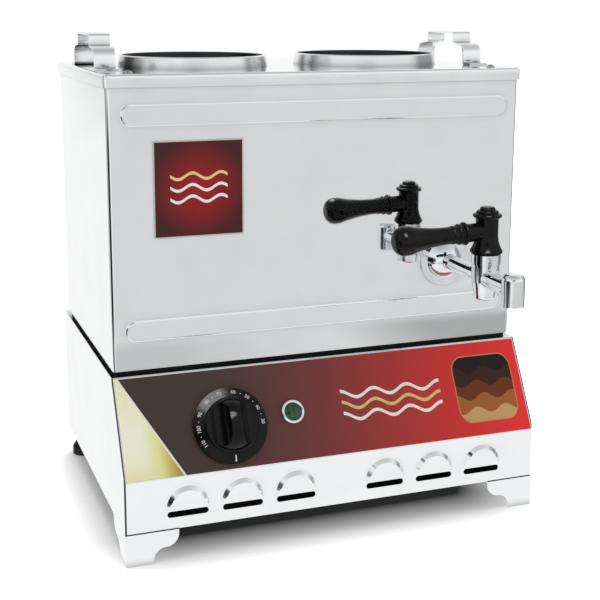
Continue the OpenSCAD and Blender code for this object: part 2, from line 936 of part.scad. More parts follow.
module base_shell() {
  inner_w = base_w - 2 * sheet_t;
  color("silver")
    difference() {
      intersection() {
        translate([0, base_cy, foot_h])
          linear_extrude(base_h)
            rounded_rect(base_w, base_d, tank_bend_r);
        along_x(base_w) base_side_outline();
      }
      // Room inside, open to the front
      translate([-inner_w / 2, strip_y - 10, base_floor_z])
        cube([inner_w, base_d - sheet_t + 10, base_h - 2 * sheet_t]);
      // Deck opening under the tank, and the front panel's place in the deck
      translate([-deck_hole_w / 2, strip_y, base_top - 2 * sheet_t])
        cube([deck_hole_w, front_y + tank_d - deck_w - strip_y, 3 * sheet_t]);
      translate([-inner_w / 2, strip_y, base_top - 2 * sheet_t])
        cube([inner_w, front_y + deck_w + drop_gap - strip_y, 3 * sheet_t]);
      // Opening in the bottom, and the front panel's place there
      translate([base_lip_w - base_w / 2, strip_y - 1, foot_h - 1])
        cube([base_w - 2 * base_lip_w, base_d - base_lip_w + 1, sheet_t + 2]);
      translate([-inner_w / 2, strip_y - 1, foot_h - 1])
        cube([inner_w, base_lip_w + drop_gap + 1, sheet_t + 2]);
      clamp_holes(base_top - sheet_t - 1, sheet_t + 2);
      bottom_holes();
      translate([gland_x, base_rear_y - 2 * sheet_t, gland_z])
        rotate([-90, 0, 0])
          cylinder(h = 3 * sheet_t, d = gland_thread_d + 2 * screw_gap);
    }
}

// Screw holes through the base's lips, its floor and the bracket feet
module bottom_holes() {
  for (p = concat(floor_screw_places, rear_foot_places, bracket_screw_places()))
    translate([p.x, p.y, foot_h - bracket_t - 1])
      cylinder(h = bracket_t + sheet_t + base_floor_t + 2, d = screw_d + 2 * screw_gap);
}

function bracket_screw_places() = [
  for (side = [-1, 1], far = [0, 1])
    [side * (base_w / 2 - (far ? bracket_front_w - bracket_screw_in - 1 : bracket_screw_in)),
      strip_y + bracket_screw_in]
];

// Mid-line of the bent front sheet, from the deck down to the bottom lip
module front_panel_profile() {
  t = sheet_t / 2;
  slope_shift = t / cos(slope_a);
  top_y = slope_top_y + slope_shift - t * tan(slope_a);
  break_z = base_top - (slope_top_y + slope_shift - strip_y - t) / tan(slope_a);
  path = [
    [front_y + deck_w, base_top - t],
    [top_y, base_top - t],
    [strip_y + t, break_z],
    [strip_y + t, foot_h + t],
    [strip_y + base_lip_w, foot_h + t]
  ];
  bent_sheet(path, [panel_bend_r, panel_bend_r, panel_bend_r], sheet_t);
}

// The hood's form on the strip: half a cone over a straight skirt, with a ramp down to the slot
module louvre_form(r, root) {
  top = r - louvre_flank;
  intersection() {
    union() {
      intersection() {
        union() {
          cylinder(h = louvre_rise, r1 = r, r2 = top);
          translate([0, 0, -root]) cylinder(h = root, r = r);
        }
        translate([-r, 0, -root]) cube([2 * r, r, root + louvre_rise]);
      }
      rotate([90, 0, 0])
        linear_extrude(louvre_skirt)
          polygon([[-r, -root], [r, -root], [r, 0], [top, louvre_rise], [-top, louvre_rise], [-r, 0]]);
    }
    rotate([90, 0, 90])
      linear_extrude(3 * r, center = true)
        polygon([[-louvre_skirt, -root], [2 * r, -root], [2 * r, 2 * louvre_rise],
          [louvre_ramp + louvre_skirt + louvre_ramp, 2 * louvre_rise], [-louvre_skirt, 0]]);
  }
}

module louvre_slot() {
  linear_extrude(4 * sheet_t, center = true)
    translate([0, louvre_slot_h / 2])
      rotate(90)
        stadium(louvre_slot_h, 2 * louvre_r - 1);
}

module front_panel() {
  w = base_w - 2 * (sheet_t + drop_gap);
  color("gainsboro")
    difference() {
      union() {
        along_x(w) front_panel_profile();
        for (x = louvre_places)
          on_strip(x, louvre_hood_z)
            louvre_form(louvre_r, sheet_t / 2);
      }
      for (x = louvre_places) {
        on_strip(x, louvre_hood_z)
          louvre_hollow();
        on_strip(x, foot_h + louvre_slot_z)
          louvre_slot();
      }
      on_slope(knob_x, knob_down) {
        translate([0, 0, -2 * sheet_t]) cylinder(h = 3 * sheet_t, d = stat_bush_d + 2 * screw_gap);
        thermostat_screw_places(-2 * sheet_t) cylinder(h = 3 * sheet_t, d = screw_d + 2 * screw_gap);
      }
      on_slope(lamp_x, lamp_down)
        translate([0, 0, -2 * sheet_t])
          cylinder(h = 3 * sheet_t, d = lamp_body_d + 2 * screw_gap);
      clamp_holes(base_top - sheet_t - 1, sheet_t + 2);
      bottom_holes();
    }
}

// The hollow behind a hood
module louvre_hollow() {
  translate([0, 0, -sheet_t])
    louvre_form(louvre_r - louvre_shrink, 1);
}

module control_label() {
  w = base_w - 2 * label_side;
  h = slope_len - label_top - label_foot;
  color("firebrick")
    difference() {
      on_slope(0, slope_len - label_foot)
        translate([-w / 2, 0, 0])
          cube([w, h, label_t]);
      on_slope(knob_x, knob_down) {
        translate([0, 0, -1]) cylinder(h = label_t + 2, d = stat_bush_d + 2 * screw_gap);
        thermostat_screw_places(-1) cylinder(h = label_t + 2, d = screw_d + 2 * screw_gap);
      }
      on_slope(lamp_x, lamp_down)
        translate([0, 0, -1])
          cylinder(h = label_t + 2, d = lamp_body_d + 2 * screw_gap);
    }
}

module base_floor() {
  w = base_w - 2 * sheet_t - 2 * drop_gap;
  front_gap = sheet_t + panel_bend_r + drop_gap;
  d = base_d - front_gap - sheet_t - drop_gap;
  color("silver")
    difference() {
      translate([-w / 2, strip_y + front_gap, base_floor_z])
        cube([w, d, base_floor_t]);
      for (i = [-2 : 2], side = [-1, 1])
        translate([i * vent_pitch, base_cy + side * vent_len * 2 / 3, base_floor_z - 1])
          linear_extrude(base_floor_t + 2)
            stadium(vent_w, vent_len);
      bottom_holes();
      translate([earth_x, earth_y, base_floor_z - 1])
        cylinder(h = base_floor_t + 2, d = screw_d + 2 * screw_gap);
    }
}

module floor_screws() {
  color("gray")
    for (p = floor_screw_places)
      translate([p.x, p.y, foot_h])
        rotate([180, 0, 0])
          dome_screw(sheet_t + base_floor_t + 4);
}

module tank_clamp_screws() {
  color("gray")
    for (p = clamp_places)
      translate([p.x, p.y, base_top - sheet_t])
        rotate([180, 0, 0])
          dome_screw(2 * sheet_t + seal_t + nut_h + 0.5);
}

module tank_clamp_nuts() {
  color("gray")
    for (p = clamp_places)
      translate([p.x, p.y, tank_z + sheet_t])
        hex_nut(nut_af, nut_h, screw_d + 2 * run_gap);
}

// Feet

// One face of a bracket foot: an ogee from the floor width to the top width
module bracket_face(top_w) {
  r = (top_w - bracket_floor_w) / 2;
  intersection() {
    square([top_w, foot_h]);
    union() {
      difference() {
        square([bracket_floor_w + r, foot_h]);
        translate([bracket_floor_w + r, bracket_turn_h - r]) circle(r);
        translate([bracket_floor_w, -1]) square([r + 1, max(0, bracket_turn_h - r) + 1]);
      }
      translate([bracket_floor_w + r, bracket_turn_h + r]) circle(r);
      translate([bracket_floor_w + r, bracket_turn_h + r]) square([r, foot_h]);
    }
  }
}

module bracket_foot(side) {
  color("gainsboro")
    difference() {
      translate([side * base_w / 2, strip_y, 0])
        mirror([side > 0 ? 1 : 0, 0, 0]) {
          translate([0, bracket_t, 0])
            rotate([90, 0, 0])
              linear_extrude(bracket_t)
                bracket_face(bracket_front_w);
          rotate([90, 0, 90])
            linear_extrude(bracket_t)
              bracket_face(bracket_side_w);
          translate([0, 0, foot_h - bracket_t])
            linear_extrude(bracket_t)
              polygon([[0, 0], [bracket_front_w, 0], [bracket_front_w, 2 * bracket_screw_in],
                [2 * bracket_screw_in, bracket_side_w], [0, bracket_side_w]]);
        }
      bottom_holes();
    }
}

module bracket_foot_left() {
  bracket_foot(-1);
}

module bracket_foot_right() {
  bracket_foot(1);
}

module rear_foot(place) {
  recess_h = screw_head_h + 3;
  color([0.07, 0.07, 0.07])
    translate([place.x, place.y, 0])
      difference() {
        union() {
          cylinder(h = rear_foot_disc_h, d = rear_foot_d);
          translate([0, 0, rear_foot_disc_h])
            cylinder(h = rear_foot_disc_h, d1 = rear_foot_d, d2 = rear_foot_neck_d);
          cylinder(h = foot_h, d = rear_foot_neck_d);
        }
        translate([0, 0, -1]) cylinder(h = foot_h + 2, d = screw_d + 2 * screw_gap);
        translate([0, 0, -1]) cylinder(h = recess_h + 1, d = screw_head_d + 2 * screw_gap);
      }
}

module rear_foot_left() {
  rear_foot(rear_foot_places[0]);
}

module rear_foot_right() {
  rear_foot(rear_foot_places[1]);
}

module foot_screws() {
  grip = sheet_t + base_floor_t + nut_h + 1;
  color("gray") {
    for (p = rear_foot_places)
      translate([p.x, p.y, screw_head_h + 3])
        rotate([180, 0, 0])
          dome_screw(foot_h - screw_head_h - 3 + grip);
    for (p = bracket_screw_places())
      translate([p.x, p.y, foot_h - bracket_t])
        rotate([180, 0, 0])
          dome_screw(bracket_t + grip);
  }
}

module foot_nuts() {
  color("gray")
    for (p = concat(rear_foot_places, bracket_screw_places()))
      translate([p.x, p.y, base_floor_top])
        hex_nut(nut_af, nut_h, screw_d + 2 * run_gap);
}

// Thermostat and knob

module thermostat_screw_places(z) {
  for (x = [-stat_screw_pitch / 2, stat_screw_pitch / 2])
    translate([x, 0, z])
      children();
}

// Skirt with a bevelled face, a raised disc and a grip bar with hollow flanks
module thermostat_knob() {
  skirt = knob_skirt_d / 2;
  disc = knob_disc_d / 2;
  rise = knob_h - knob_deck_z;
  dome_foot = disc - 1.5;
  crown = 2;
  dome = (pow(dome_foot - crown, 2) + rise * rise) / (2 * rise);
  scoop = rise;
  hub_d = shaft_d + 8;
  color([0.09, 0.09, 0.09])
    on_slope(knob_x, knob_down)
      difference() {
        union() {
          translate([0, 0, knob_foot])
            rotate_extrude()
              polygon([[0, 0], [skirt, 0], [skirt, knob_skirt_t],
                [disc, knob_disc_z - knob_foot], [disc, knob_deck_z - knob_foot - 0.8],
                [disc - 0.8, knob_deck_z - knob_foot], [0, knob_deck_z - knob_foot]]);
          difference() {
            translate([0, 0, knob_deck_z - eps])
              rotate_extrude() {
                square([crown, rise + eps]);
                intersection() {
                  translate([crown, rise + eps - dome]) circle(dome);
                  translate([crown, 0]) square([dome, rise + eps]);
                }
              }
            for (x = [-1, 1])
              translate([x * (knob_bar_w / 2 + scoop), 0, knob_h])
                rotate([90, 0, 0])
                  cylinder(h = 2 * knob_disc_d, r = scoop, center = true);
          }
        }
        // Hollow under the skirt, round the hub
        difference() {
          translate([0, 0, knob_foot - 1]) cylinder(h = knob_skirt_t + 1.6, r = disc + 1);
          translate([0, 0, stat_bush_out + 0.4]) cylinder(h = knob_h, d = hub_d);
        }
        translate([0, 0, knob_foot - 1]) cylinder(h = shaft_out - knob_foot + 1, d = shaft_d);
      }
}

module thermostat_shaft() {
  color("darkgray")
    on_slope(knob_x, knob_down)
      translate([0, 0, -sheet_t - shaft_in])
        cylinder(h = sheet_t + shaft_in + shaft_out, d = shaft_d);
}

module thermostat_body() {
  color("tan")
    on_slope(knob_x, knob_down)
      difference() {
        union() {
          translate([-stat_w / 2, -stat_h / 2, -sheet_t - stat_depth])
            cube([stat_w, stat_h, stat_depth]);
          translate([0, 0, -sheet_t - eps]) cylinder(h = sheet_t + stat_bush_out, d = stat_bush_d);
        }
        translate([0, 0, -sheet_t - shaft_in - 0.3])
          cylinder(h = 2 * stat_depth, d = shaft_d + 2 * run_gap);
        thermostat_screw_places(-sheet_t - 9)
          cylinder(h = 20, d = screw_d + 2 * run_gap);
        translate([0, 0, -sheet_t - stat_depth - 1])
          cylinder(h = 3.2, d = capillary_d + 2 * run_gap);
      }
}

module thermostat_screws() {
  color("gray")
    on_slope(knob_x, knob_down)
      thermostat_screw_places(label_t)
        dome_screw(label_t + sheet_t + 8);
}

// From the thermostat's rear, up through the tank floor to the bulb that lies in the water
module thermostat_capillary() {
  back = sheet_t + stat_depth;
  start = [knob_x, slope_top_y - knob_down * sin(slope_a) + back * cos(slope_a),
    base_top - knob_down * cos(slope_a) - back * sin(slope_a)];
  turn = start + 10 * [0, cos(slope_a), -sin(slope_a)];
  bulb_start = knob_x + 12;
  color("peru") {
    lead([
      start - 2 * unit(turn - start),
      turn,
      [knob_x, capillary_y, turn.z],
      [knob_x, capillary_y, bulb_z],
      [bulb_start + 1, capillary_y, bulb_z]
    ], capillary_d / 2);
    translate([bulb_start, capillary_y, bulb_z])
      rotate([0, 90, 0])
        cylinder(h = bulb_len, d = bulb_d);
  }
}

module capillary_gland() {
  color("goldenrod")
    translate([knob_x, capillary_y, 0])
      difference() {
        union() {
          translate([0, 0, floor_top]) cylinder(h = 2, d = capillary_gland_d + 5);
          translate([0, 0, floor_under - 5]) cylinder(h = 5 + tank_floor_t + eps, d = capillary_gland_d);
          translate([0, 0, floor_under - 4])
            cylinder(h = 4, d = (capillary_gland_d + 5) / cos(30), $fn = 6);
        }
        translate([0, 0, floor_under - 6]) cylinder(h = 20, d = capillary_d + 2 * run_gap);
      }
}

// Pilot lamp

module lamp_bezel() {
  tube = (lamp_bezel_d - lamp_lens_d) / 4;
  mid = (lamp_bezel_d + lamp_lens_d) / 4;
  color("gainsboro")
    on_slope(lamp_x, lamp_down)
      translate([0, 0, label_t])
        rotate_extrude() {
          translate([mid - tube, 0]) square([2 * tube, 1.6]);
          intersection() {
            translate([mid, 1.6]) circle(tube);
            translate([mid - tube, 0]) square([2 * tube, 1.6 + tube]);
          }
        }
}

module lamp_lens() {
  d = lamp_lens_d - 2 * drop_gap;
  rise = 1.6;
  ball = (d * d / 4 + rise * rise) / (2 * rise);
  color("green")
    on_slope(lamp_x, lamp_down)
      translate([0, 0, label_t]) {
        cylinder(h = 2, d = d);
        translate([0, 0, 2])
          intersection() {
            translate([0, 0, rise - ball]) sphere(ball);
            translate([0, 0, -eps]) cylinder(h = rise + eps, d = d);
          }
      }
}

module lamp_body() {
  color("ivory")
    on_slope(lamp_x, lamp_down) {
      translate([0, 0, -sheet_t - 24]) cylinder(h = 24 + sheet_t + label_t, d = lamp_body_d);
      for (x = [-2.5, 2.5])
        translate([x - 0.4, -2.4, -sheet_t - 32])
          cube([0.8, 4.8, 8 + eps]);
    }
}

module lamp_nut() {
  color("ivory")
    on_slope(lamp_x, lamp_down)
      translate([0, 0, -sheet_t - 4])
        hex_nut(lamp_body_d + 5, 4, lamp_body_d + 2 * run_gap);
}

// Heater

module element_legs() {
  for (x = [-1, 1])
    translate([x * element_leg_pitch / 2, element_leg_y, 0])
      children();
}

// One tube: up from each leg, out to the end of the loop and round it
module heating_element() {
  leg = element_leg_pitch / 2;
  r = element_d / 2;
  color("dimgray") {
    for (x = [-1, 1]) {
      bent_bar([
        [x * leg, element_leg_y, floor_under - bush_below - 3],
        [x * leg, element_leg_y, element_z],
        [x * element_run, element_leg_y, element_z]
      ], r, element_leg_bend);
      translate([x * element_run, element_cy, element_z])
        rotate([0, 0, x * 90 - 180])
          rotate_extrude(angle = 180)
            translate([element_bend, 0])
              circle(r);
    }
    straight_bar([-element_run, element_cy + element_bend, element_z],
      [element_run, element_cy + element_bend, element_z], r);
  }
}

module element_bushes() {
  color("goldenrod")
    element_legs()
      difference() {
        union() {
          translate([0, 0, floor_top + element_seal_t]) cylinder(h = bush_flange_t, d = bush_flange_d);
          translate([0, 0, floor_under - bush_below])
            cylinder(h = bush_below + tank_floor_t + element_seal_t + eps, d = bush_d);
        }
        translate([0, 0, floor_under - bush_below - 1])
          cylinder(h = 2 * bush_below + 10, d = element_d + 2 * run_gap);
      }
}

module element_seals() {
  color("indianred")
    translate([0, 0, floor_top])
      element_legs()
        ring(bush_flange_d, bush_d + 2 * run_gap, element_seal_t);
}

module element_nuts() {
  color("goldenrod")
    translate([0, 0, floor_under - element_nut_h])
      element_legs()
        hex_nut(bush_flange_d, element_nut_h, bush_d + 2 * run_gap);
}

module element_terminals() {
  foot = floor_under - bush_below - 3;
  color("ivory")
    element_legs() {
      translate([0, 0, foot - 5]) cylinder(h = 5, d = element_d - 1);
      translate([-3.2, -0.4, foot - element_tab_h]) cube([6.4, 0.8, element_tab_h - 5 + eps]);
    }
}

// Overheat cut-out, clipped to the tank floor's underside
module limit_thermostat() {
  d = 17;
  color("black")
    translate([0, tank_cy, floor_under]) {
      translate([0, 0, -2]) cylinder(h = 2, d = d + 4);
      translate([0, 0, -10]) cylinder(h = 8 + eps, d = d);
      for (x = [-5, 5])
        translate([x - 0.4, -3.2, -20]) cube([0.8, 6.4, 10 + eps]);
    }
}

// Wiring in the base

terminal_x = base_w / 2 - terminal_from_right;
terminal_y = base_rear_y - terminal_from_rear;
terminal_ways = [-terminal_pitch, 0, terminal_pitch];
terminal_w = 2 * terminal_pitch + 12;
terminal_z = base_floor_top + terminal_h * 3 / 5;
earth_x = base_w / 2 - earth_from_right;
earth_y = base_rear_y - earth_from_rear;
wire_r = wire_d / 2;

module terminal_block() {
  color("ivory")
    difference() {
      translate([terminal_x - terminal_w / 2, terminal_y - terminal_d / 2, base_floor_top])
        cube([terminal_w, terminal_d, terminal_h]);
      for (x = terminal_ways) {
        translate([terminal_x + x, terminal_y, terminal_z])
          rotate([90, 0, 0])
            cylinder(h = 2 * terminal_d, d = 2 * wire_r + 2 * run_gap, center = true);
        translate([terminal_x + x, terminal_y, terminal_z])
          cylinder(h = terminal_h, d = 5);
      }
    }
}

module earth_stud() {
  color("goldenrod")
    translate([earth_x, earth_y, 0]) {
      translate([0, 0, foot_h]) cylinder(h = base_floor_top - foot_h + 14, d = screw_d);
      translate([0, 0, base_floor_z - 1]) cylinder(h = 1, d = screw_head_d);
      translate([0, 0, base_floor_top]) cylinder(h = 4, d = nut_af / cos(30), $fn = 6);
    }
}

// Leads from the terminal block to the heater, the cut-out and the lamp
module wiring() {
  z = terminal_z;
  way = terminal_x - terminal_pitch;
  turn_y = terminal_y - terminal_d / 2 - wire_turn;
  leg = element_leg_pitch / 2;
  tab = floor_under - bush_below - 3 - element_tab_h;
  color("firebrick")
    lead([
      [way, terminal_y, z],
      [way, turn_y, z],
      [leg, turn_y, z],
      [leg, element_leg_y, z],
      [leg, element_leg_y, tab]
    ], wire_r);
}

// Cord gland

module gland_frame() {
  translate([gland_x, base_rear_y, gland_z])
    rotate([-90, 0, 0])
      children();
}

module cord_gland() {
  color([0.1, 0.1, 0.1])
    gland_frame()
      difference() {
        union() {
          cylinder(h = gland_flange_t, d = gland_af / cos(30), $fn = 6);
          translate([0, 0, gland_flange_t - eps])
            cylinder(h = gland_out - gland_flange_t + eps, d1 = gland_thread_d + 3, d2 = gland_thread_d);
          translate([0, 0, -12]) cylinder(h = 12 + eps, d = gland_thread_d);
        }
        translate([0, 0, -13]) cylinder(h = gland_out + 14, d = gland_bore_d);
      }
}

module gland_nut() {
  color([0.1, 0.1, 0.1])
    gland_frame()
      translate([0, 0, -sheet_t - 5])
        hex_nut(gland_af, 5, gland_thread_d + 2 * run_gap);
}

// Tap

module tap_rosette() {
  r = rosette_dome_d / 2;
  ball = (r * r + rosette_rise * rosette_rise) / (2 * rosette_rise);
  hole = shank_d / 2 + drop_gap;
  color("gainsboro")
    at_tap()
      rotate_extrude() {
        translate([r - 1, 0]) square([rosette_d / 2 - r + 1, rosette_flange_t]);
        difference() {
          translate([0, rosette_rise - ball]) circle(ball);
          translate([0, rosette_rise - ball]) circle(ball - skin);
          translate([-2 * ball, -3 * ball]) square([4 * ball, 3 * ball]);
          translate([-2 * ball, -ball]) square([2 * ball + hole, 3 * ball]);
        }
      }
}

module tap_shank() {
  color("gainsboro")
    at_tap()
      difference() {
        union() {
          translate([0, 0, -shank_in])
            cylinder(h = shank_in + tap_reach - valve_d / 2 - boss_len + socket_len, d = shank_d);
          translate([0, 0, tap_seal_t]) cylinder(h = shank_flange_t, d = tap_seal_d - 1);
        }
        translate([0, 0, -shank_in - 1]) cylinder(h = 2 * tap_reach, d = water_d);
      }
}

module tap_seals() {
  color("indianred")
    at_tap() {
      ring(tap_seal_d, shank_d + 2 * run_gap, tap_seal_t);
      translate([0, 0, -sheet_t - tap_seal_t]) ring(tap_seal_d, shank_d + 2 * run_gap, tap_seal_t);
    }
}

module tap_nut() {
  color("goldenrod")
    at_tap()
      translate([0, 0, -sheet_t - tap_seal_t - tap_nut_h])
        hex_nut(tap_seal_d - 2, tap_nut_h, shank_d + 2 * run_gap);
}

// Upright valve body with a rear and a front socket, bored for the plug
module tap_body() {
  r = valve_d / 2;
  foot = valve_foot_d / 2;
  edge = 3;
  socket_out = r + boss_len;
  boss_d = shank_d + 4;
  color("gainsboro")
    at_valve()
      difference() {
        union() {
          rotate_extrude() {
            polygon([[0, edge - valve_below], [foot, edge - valve_below], [r, -2],
              [r, valve_above], [0, valve_above]]);
            translate([0, -valve_below]) square([foot - edge, edge]);
            intersection() {
              translate([foot - edge, edge - valve_below]) circle(edge);
              translate([0, -valve_below]) square([foot, edge]);
            }
          }
          rotate([90, 0, 0])
            cylinder(h = 2 * socket_out, d = boss_d, center = true);
        }
        translate([0, 0, plug_foot - 0.3]) cylinder(h = 4 * r, d = plug_d + 2 * run_gap);
        rotate([90, 0, 0]) cylinder(h = 4 * r, d = water_d, center = true);
        rotate([-90, 0, 0])
          translate([0, 0, socket_out - socket_len])
            cylinder(h = socket_len + 1, d = shank_d + 2 * run_gap);
        rotate([90, 0, 0])
          translate([0, 0, socket_out - socket_len])
            cylinder(h = socket_len + 1, d = arm_d + 2 * run_gap);
      }
}

plug_foot = 2.8 - valve_below;
stem_seal_h = 2.4;
stem_seal_d = stem_d + 4;

module tap_bonnet() {
  edge = 1;
  r = bonnet_d / 2;
  color("gainsboro")
    at_valve()
      translate([0, 0, valve_above])
        difference() {
          rotate_extrude()
            polygon([[0, 0], [r, 0], [r, bonnet_h - edge], [r - edge, bonnet_h], [0, bonnet_h]]);
          translate([0, 0, -1]) cylinder(h = bonnet_h + 2, d = stem_d + 2 * run_gap);
          translate([0, 0, -1]) cylinder(h = stem_seal_h + 1.1, d = stem_seal_d + 2 * run_gap);
        }
}

module stem_seal() {
  color("black")
    at_valve()
      translate([0, 0, valve_above + 0.1])
        ring(stem_seal_d, stem_d + 2 * run_gap, stem_seal_h);
}

// Arm from the valve's front socket, and an upright nozzle with a rounded top
module tap_spout() {
  start = valve_d / 2 + boss_len - socket_len;
  span = spout_reach - tap_reach;
  r = nozzle_d / 2;
  color("gainsboro")
    at_valve()
      difference() {
        union() {
          rotate([90, 0, 0])
            translate([0, 0, start])
              cylinder(h = span - start, d = arm_d);
          translate([0, -span, 0])
            rotate_extrude() {
              translate([0, -nozzle_below]) square([r, nozzle_below + nozzle_above - nozzle_top_r]);
              square([r - nozzle_top_r, nozzle_above]);
              intersection() {
                translate([r - nozzle_top_r, nozzle_above - nozzle_top_r]) circle(nozzle_top_r);
                square([r, nozzle_above]);
              }
            }
        }
        rotate([90, 0, 0])
          translate([0, 0, start - 1])
            cylinder(h = span - start + 1, d = water_d);
        translate([0, -span, -nozzle_below - 1])
          cylinder(h = nozzle_below + 2.2 + water_d / 2, d = nozzle_bore_d);
      }
}

// Plug with a cross bore, closed when the bore lies along X, and its stem
module tap_plug() {
  color("goldenrod")
    at_valve()
      difference() {
        union() {
          translate([0, 0, plug_foot]) cylinder(h = valve_above - 0.2 - plug_foot, d = plug_d);
          cylinder(h = stem_top, d = stem_d);
        }
        rotate([0, 90, 0]) cylinder(h = 2 * plug_d, d = water_d, center = true);
        translate([0, 0, stem_top - 8]) cylinder(h = 9, d = screw_d + 2 * run_gap);
      }
}

// Half-section of the hub: flared foot, waist and brim
module hub_section() {
  foot = hub_foot_d / 2;
  waist = hub_waist_d / 2;
  brim = hub_brim_d / 2;
  flare = foot - waist;
  run = hub_bell_h - hub_foot_h;
  arc = (run * run + flare * flare) / (2 * flare);
  brim_t = 3.4;
  square([waist, hub_h]);
  square([foot, hub_foot_h]);
  difference() {
    translate([0, hub_foot_h - eps]) square([foot, run + eps]);
    translate([waist + arc, hub_bell_h]) circle(arc, $fn = 128);
  }
  translate([0, hub_h - brim_t]) square([brim - brim_t / 2, brim_t]);
  translate([brim - brim_t / 2, hub_h - brim_t / 2]) circle(brim_t / 2);
}

// Half-section of the lever, with its axis up: root, rings, slim neck flaring to the bulb
module lever_section() {
  root = lever_root_d / 2;
  neck = lever_neck_d / 2;
  bulb = lever_bulb_d / 2;
  ring_r = 1.5;
  flare_start = lever_ring_start + 2 * lever_ring_pitch + 3;
  flare_end = lever_len - lever_bulb_len;
  run = flare_end - flare_start;
  grow = bulb - neck;
  arc = (run * run + grow * grow) / (2 * grow);
  edge = lever_end_r;
  square([root, flare_start - 2]);
  for (i = [0 : 2]) {
    reach = (lever_ring_d - i * lever_ring_step) / 2 - ring_r;
    translate([0, lever_ring_start + i * lever_ring_pitch]) {
      translate([reach, 0]) circle(ring_r);
      translate([0, -ring_r]) square([reach, 2 * ring_r]);
    }
  }
  difference() {
    translate([0, flare_start - 2 - eps]) square([bulb, run + 2 + eps]);
    translate([neck + arc, flare_start]) circle(arc, $fn = 128);
    translate([neck, flare_start - 3]) square([bulb, 3]);
  }
  translate([0, flare_end]) square([bulb, lever_bulb_len - edge]);
  translate([0, flare_end]) square([bulb - edge, lever_bulb_len]);
  intersection() {
    translate([bulb - edge, lever_len - edge]) circle(edge);
    translate([0, flare_end]) square([bulb, lever_bulb_len]);
  }
}

// Hub and lever in one moulding, the lever to the left
module tap_lever() {
  color([0.06, 0.06, 0.06])
    at_valve()
      translate([0, 0, hub_foot])
        difference() {
          union() {
            rotate_extrude() hub_section();
            translate([0, 0, lever_up])
              rotate([0, -90 - lever_droop, 0])
                rotate_extrude() lever_section();
          }
          translate([0, 0, -1]) cylinder(h = stem_top - hub_foot + 1, d = stem_d);
          translate([0, 0, -1]) cylinder(h = hub_h + 2, d = screw_d + 2 * screw_gap);
          translate([0, 0, stem_top - hub_foot + 2])
            cylinder(h = hub_h, d = screw_head_d + 2 * screw_gap);
        }
}

module lever_screw() {
  color("gray")
    at_valve()
      translate([0, 0, stem_top + 2])
        dome_screw(8);
}

module lever_cap() {
  step = hub_brim_d / 2 - 2.8;
  step_h = 2.6;
  button = step - 2.6;
  rise = 5.4;
  edge = 2;
  color([0.06, 0.06, 0.06])
    at_valve()
      translate([0, 0, hub_top]) {
        rotate_extrude() {
          square([step, step_h - step_h / 2]);
          square([step - step_h / 2, step_h]);
          intersection() {
            translate([step - step_h / 2, step_h / 2]) circle(step_h / 2);
            square([step, step_h]);
          }
          square([button, rise - edge]);
          square([button - edge, rise]);
          translate([button - edge, rise - edge]) circle(edge);
        }
        translate([0, 0, -3]) cylinder(h = 3 + eps, d = screw_head_d);
      }
}

// Drawing
tank_shell();
tank_floor();
top_cover();
cover_skirt();
pot_collar_left();
pot_collar_right();
carry_handle_left();
carry_handle_right();
handle_screws();
handle_nuts();
cover_screws();
badge_plate();
base_seal();
base_shell();
front_panel();
control_label();
base_floor();
floor_screws();
tank_clamp_screws();
tank_clamp_nuts();
bracket_foot_left();
bracket_foot_right();
rear_foot_left();
rear_foot_right();
foot_screws();
foot_nuts();
thermostat_knob();
thermostat_shaft();
thermostat_body();
thermostat_screws();
thermostat_capillary();
capillary_gland();
lamp_bezel();
lamp_lens();
lamp_body();
lamp_nut();
heating_element();
element_bushes();
element_seals();
element_nuts();
element_terminals();
limit_thermostat();
terminal_block();
earth_stud();
wiring();
cord_gland();
gland_nut();
tap_rosette();
tap_shank();
tap_seals();
tap_nut();
tap_body();
tap_bonnet();
stem_seal();
tap_spout();
tap_plug();
tap_lever();
lever_cap();
lever_screw();
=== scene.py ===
# %% [markdown]
# # Dressing an electric tea urn
# The construction model gives every piece its size and its place. This lesson gives the pieces the look of
# the real urn: polished sheet steel, chrome, moulded black plastic, rubber, and a printed film on the
# sloped control face. The frame is loaded first, and every later piece rides on one of its bodies.

# %% Load the frame
import json
import math

import bmesh
import bpy
from mathutils import Matrix, Vector


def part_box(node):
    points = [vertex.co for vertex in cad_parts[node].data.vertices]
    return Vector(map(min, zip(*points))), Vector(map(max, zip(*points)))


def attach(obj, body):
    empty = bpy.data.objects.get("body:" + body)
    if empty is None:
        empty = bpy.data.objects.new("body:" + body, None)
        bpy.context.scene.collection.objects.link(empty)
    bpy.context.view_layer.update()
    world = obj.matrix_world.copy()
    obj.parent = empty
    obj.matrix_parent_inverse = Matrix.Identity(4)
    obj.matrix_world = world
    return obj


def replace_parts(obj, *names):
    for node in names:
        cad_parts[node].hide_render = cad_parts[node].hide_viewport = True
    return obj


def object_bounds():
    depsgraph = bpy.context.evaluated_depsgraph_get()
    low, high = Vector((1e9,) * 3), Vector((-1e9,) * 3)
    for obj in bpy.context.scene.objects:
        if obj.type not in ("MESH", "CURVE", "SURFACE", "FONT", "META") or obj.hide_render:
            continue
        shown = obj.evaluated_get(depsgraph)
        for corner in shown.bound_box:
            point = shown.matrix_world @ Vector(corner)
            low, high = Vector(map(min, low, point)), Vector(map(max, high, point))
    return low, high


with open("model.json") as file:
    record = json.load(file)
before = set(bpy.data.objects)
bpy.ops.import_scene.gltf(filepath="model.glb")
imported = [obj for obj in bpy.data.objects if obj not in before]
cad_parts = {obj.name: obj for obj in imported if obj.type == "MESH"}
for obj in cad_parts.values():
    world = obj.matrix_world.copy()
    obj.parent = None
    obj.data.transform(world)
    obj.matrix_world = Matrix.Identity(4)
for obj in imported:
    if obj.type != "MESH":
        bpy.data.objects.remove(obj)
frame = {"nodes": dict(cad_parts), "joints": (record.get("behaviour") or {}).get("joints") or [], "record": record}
cad_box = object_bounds()
scene = bpy.context.scene
MM = 0.001
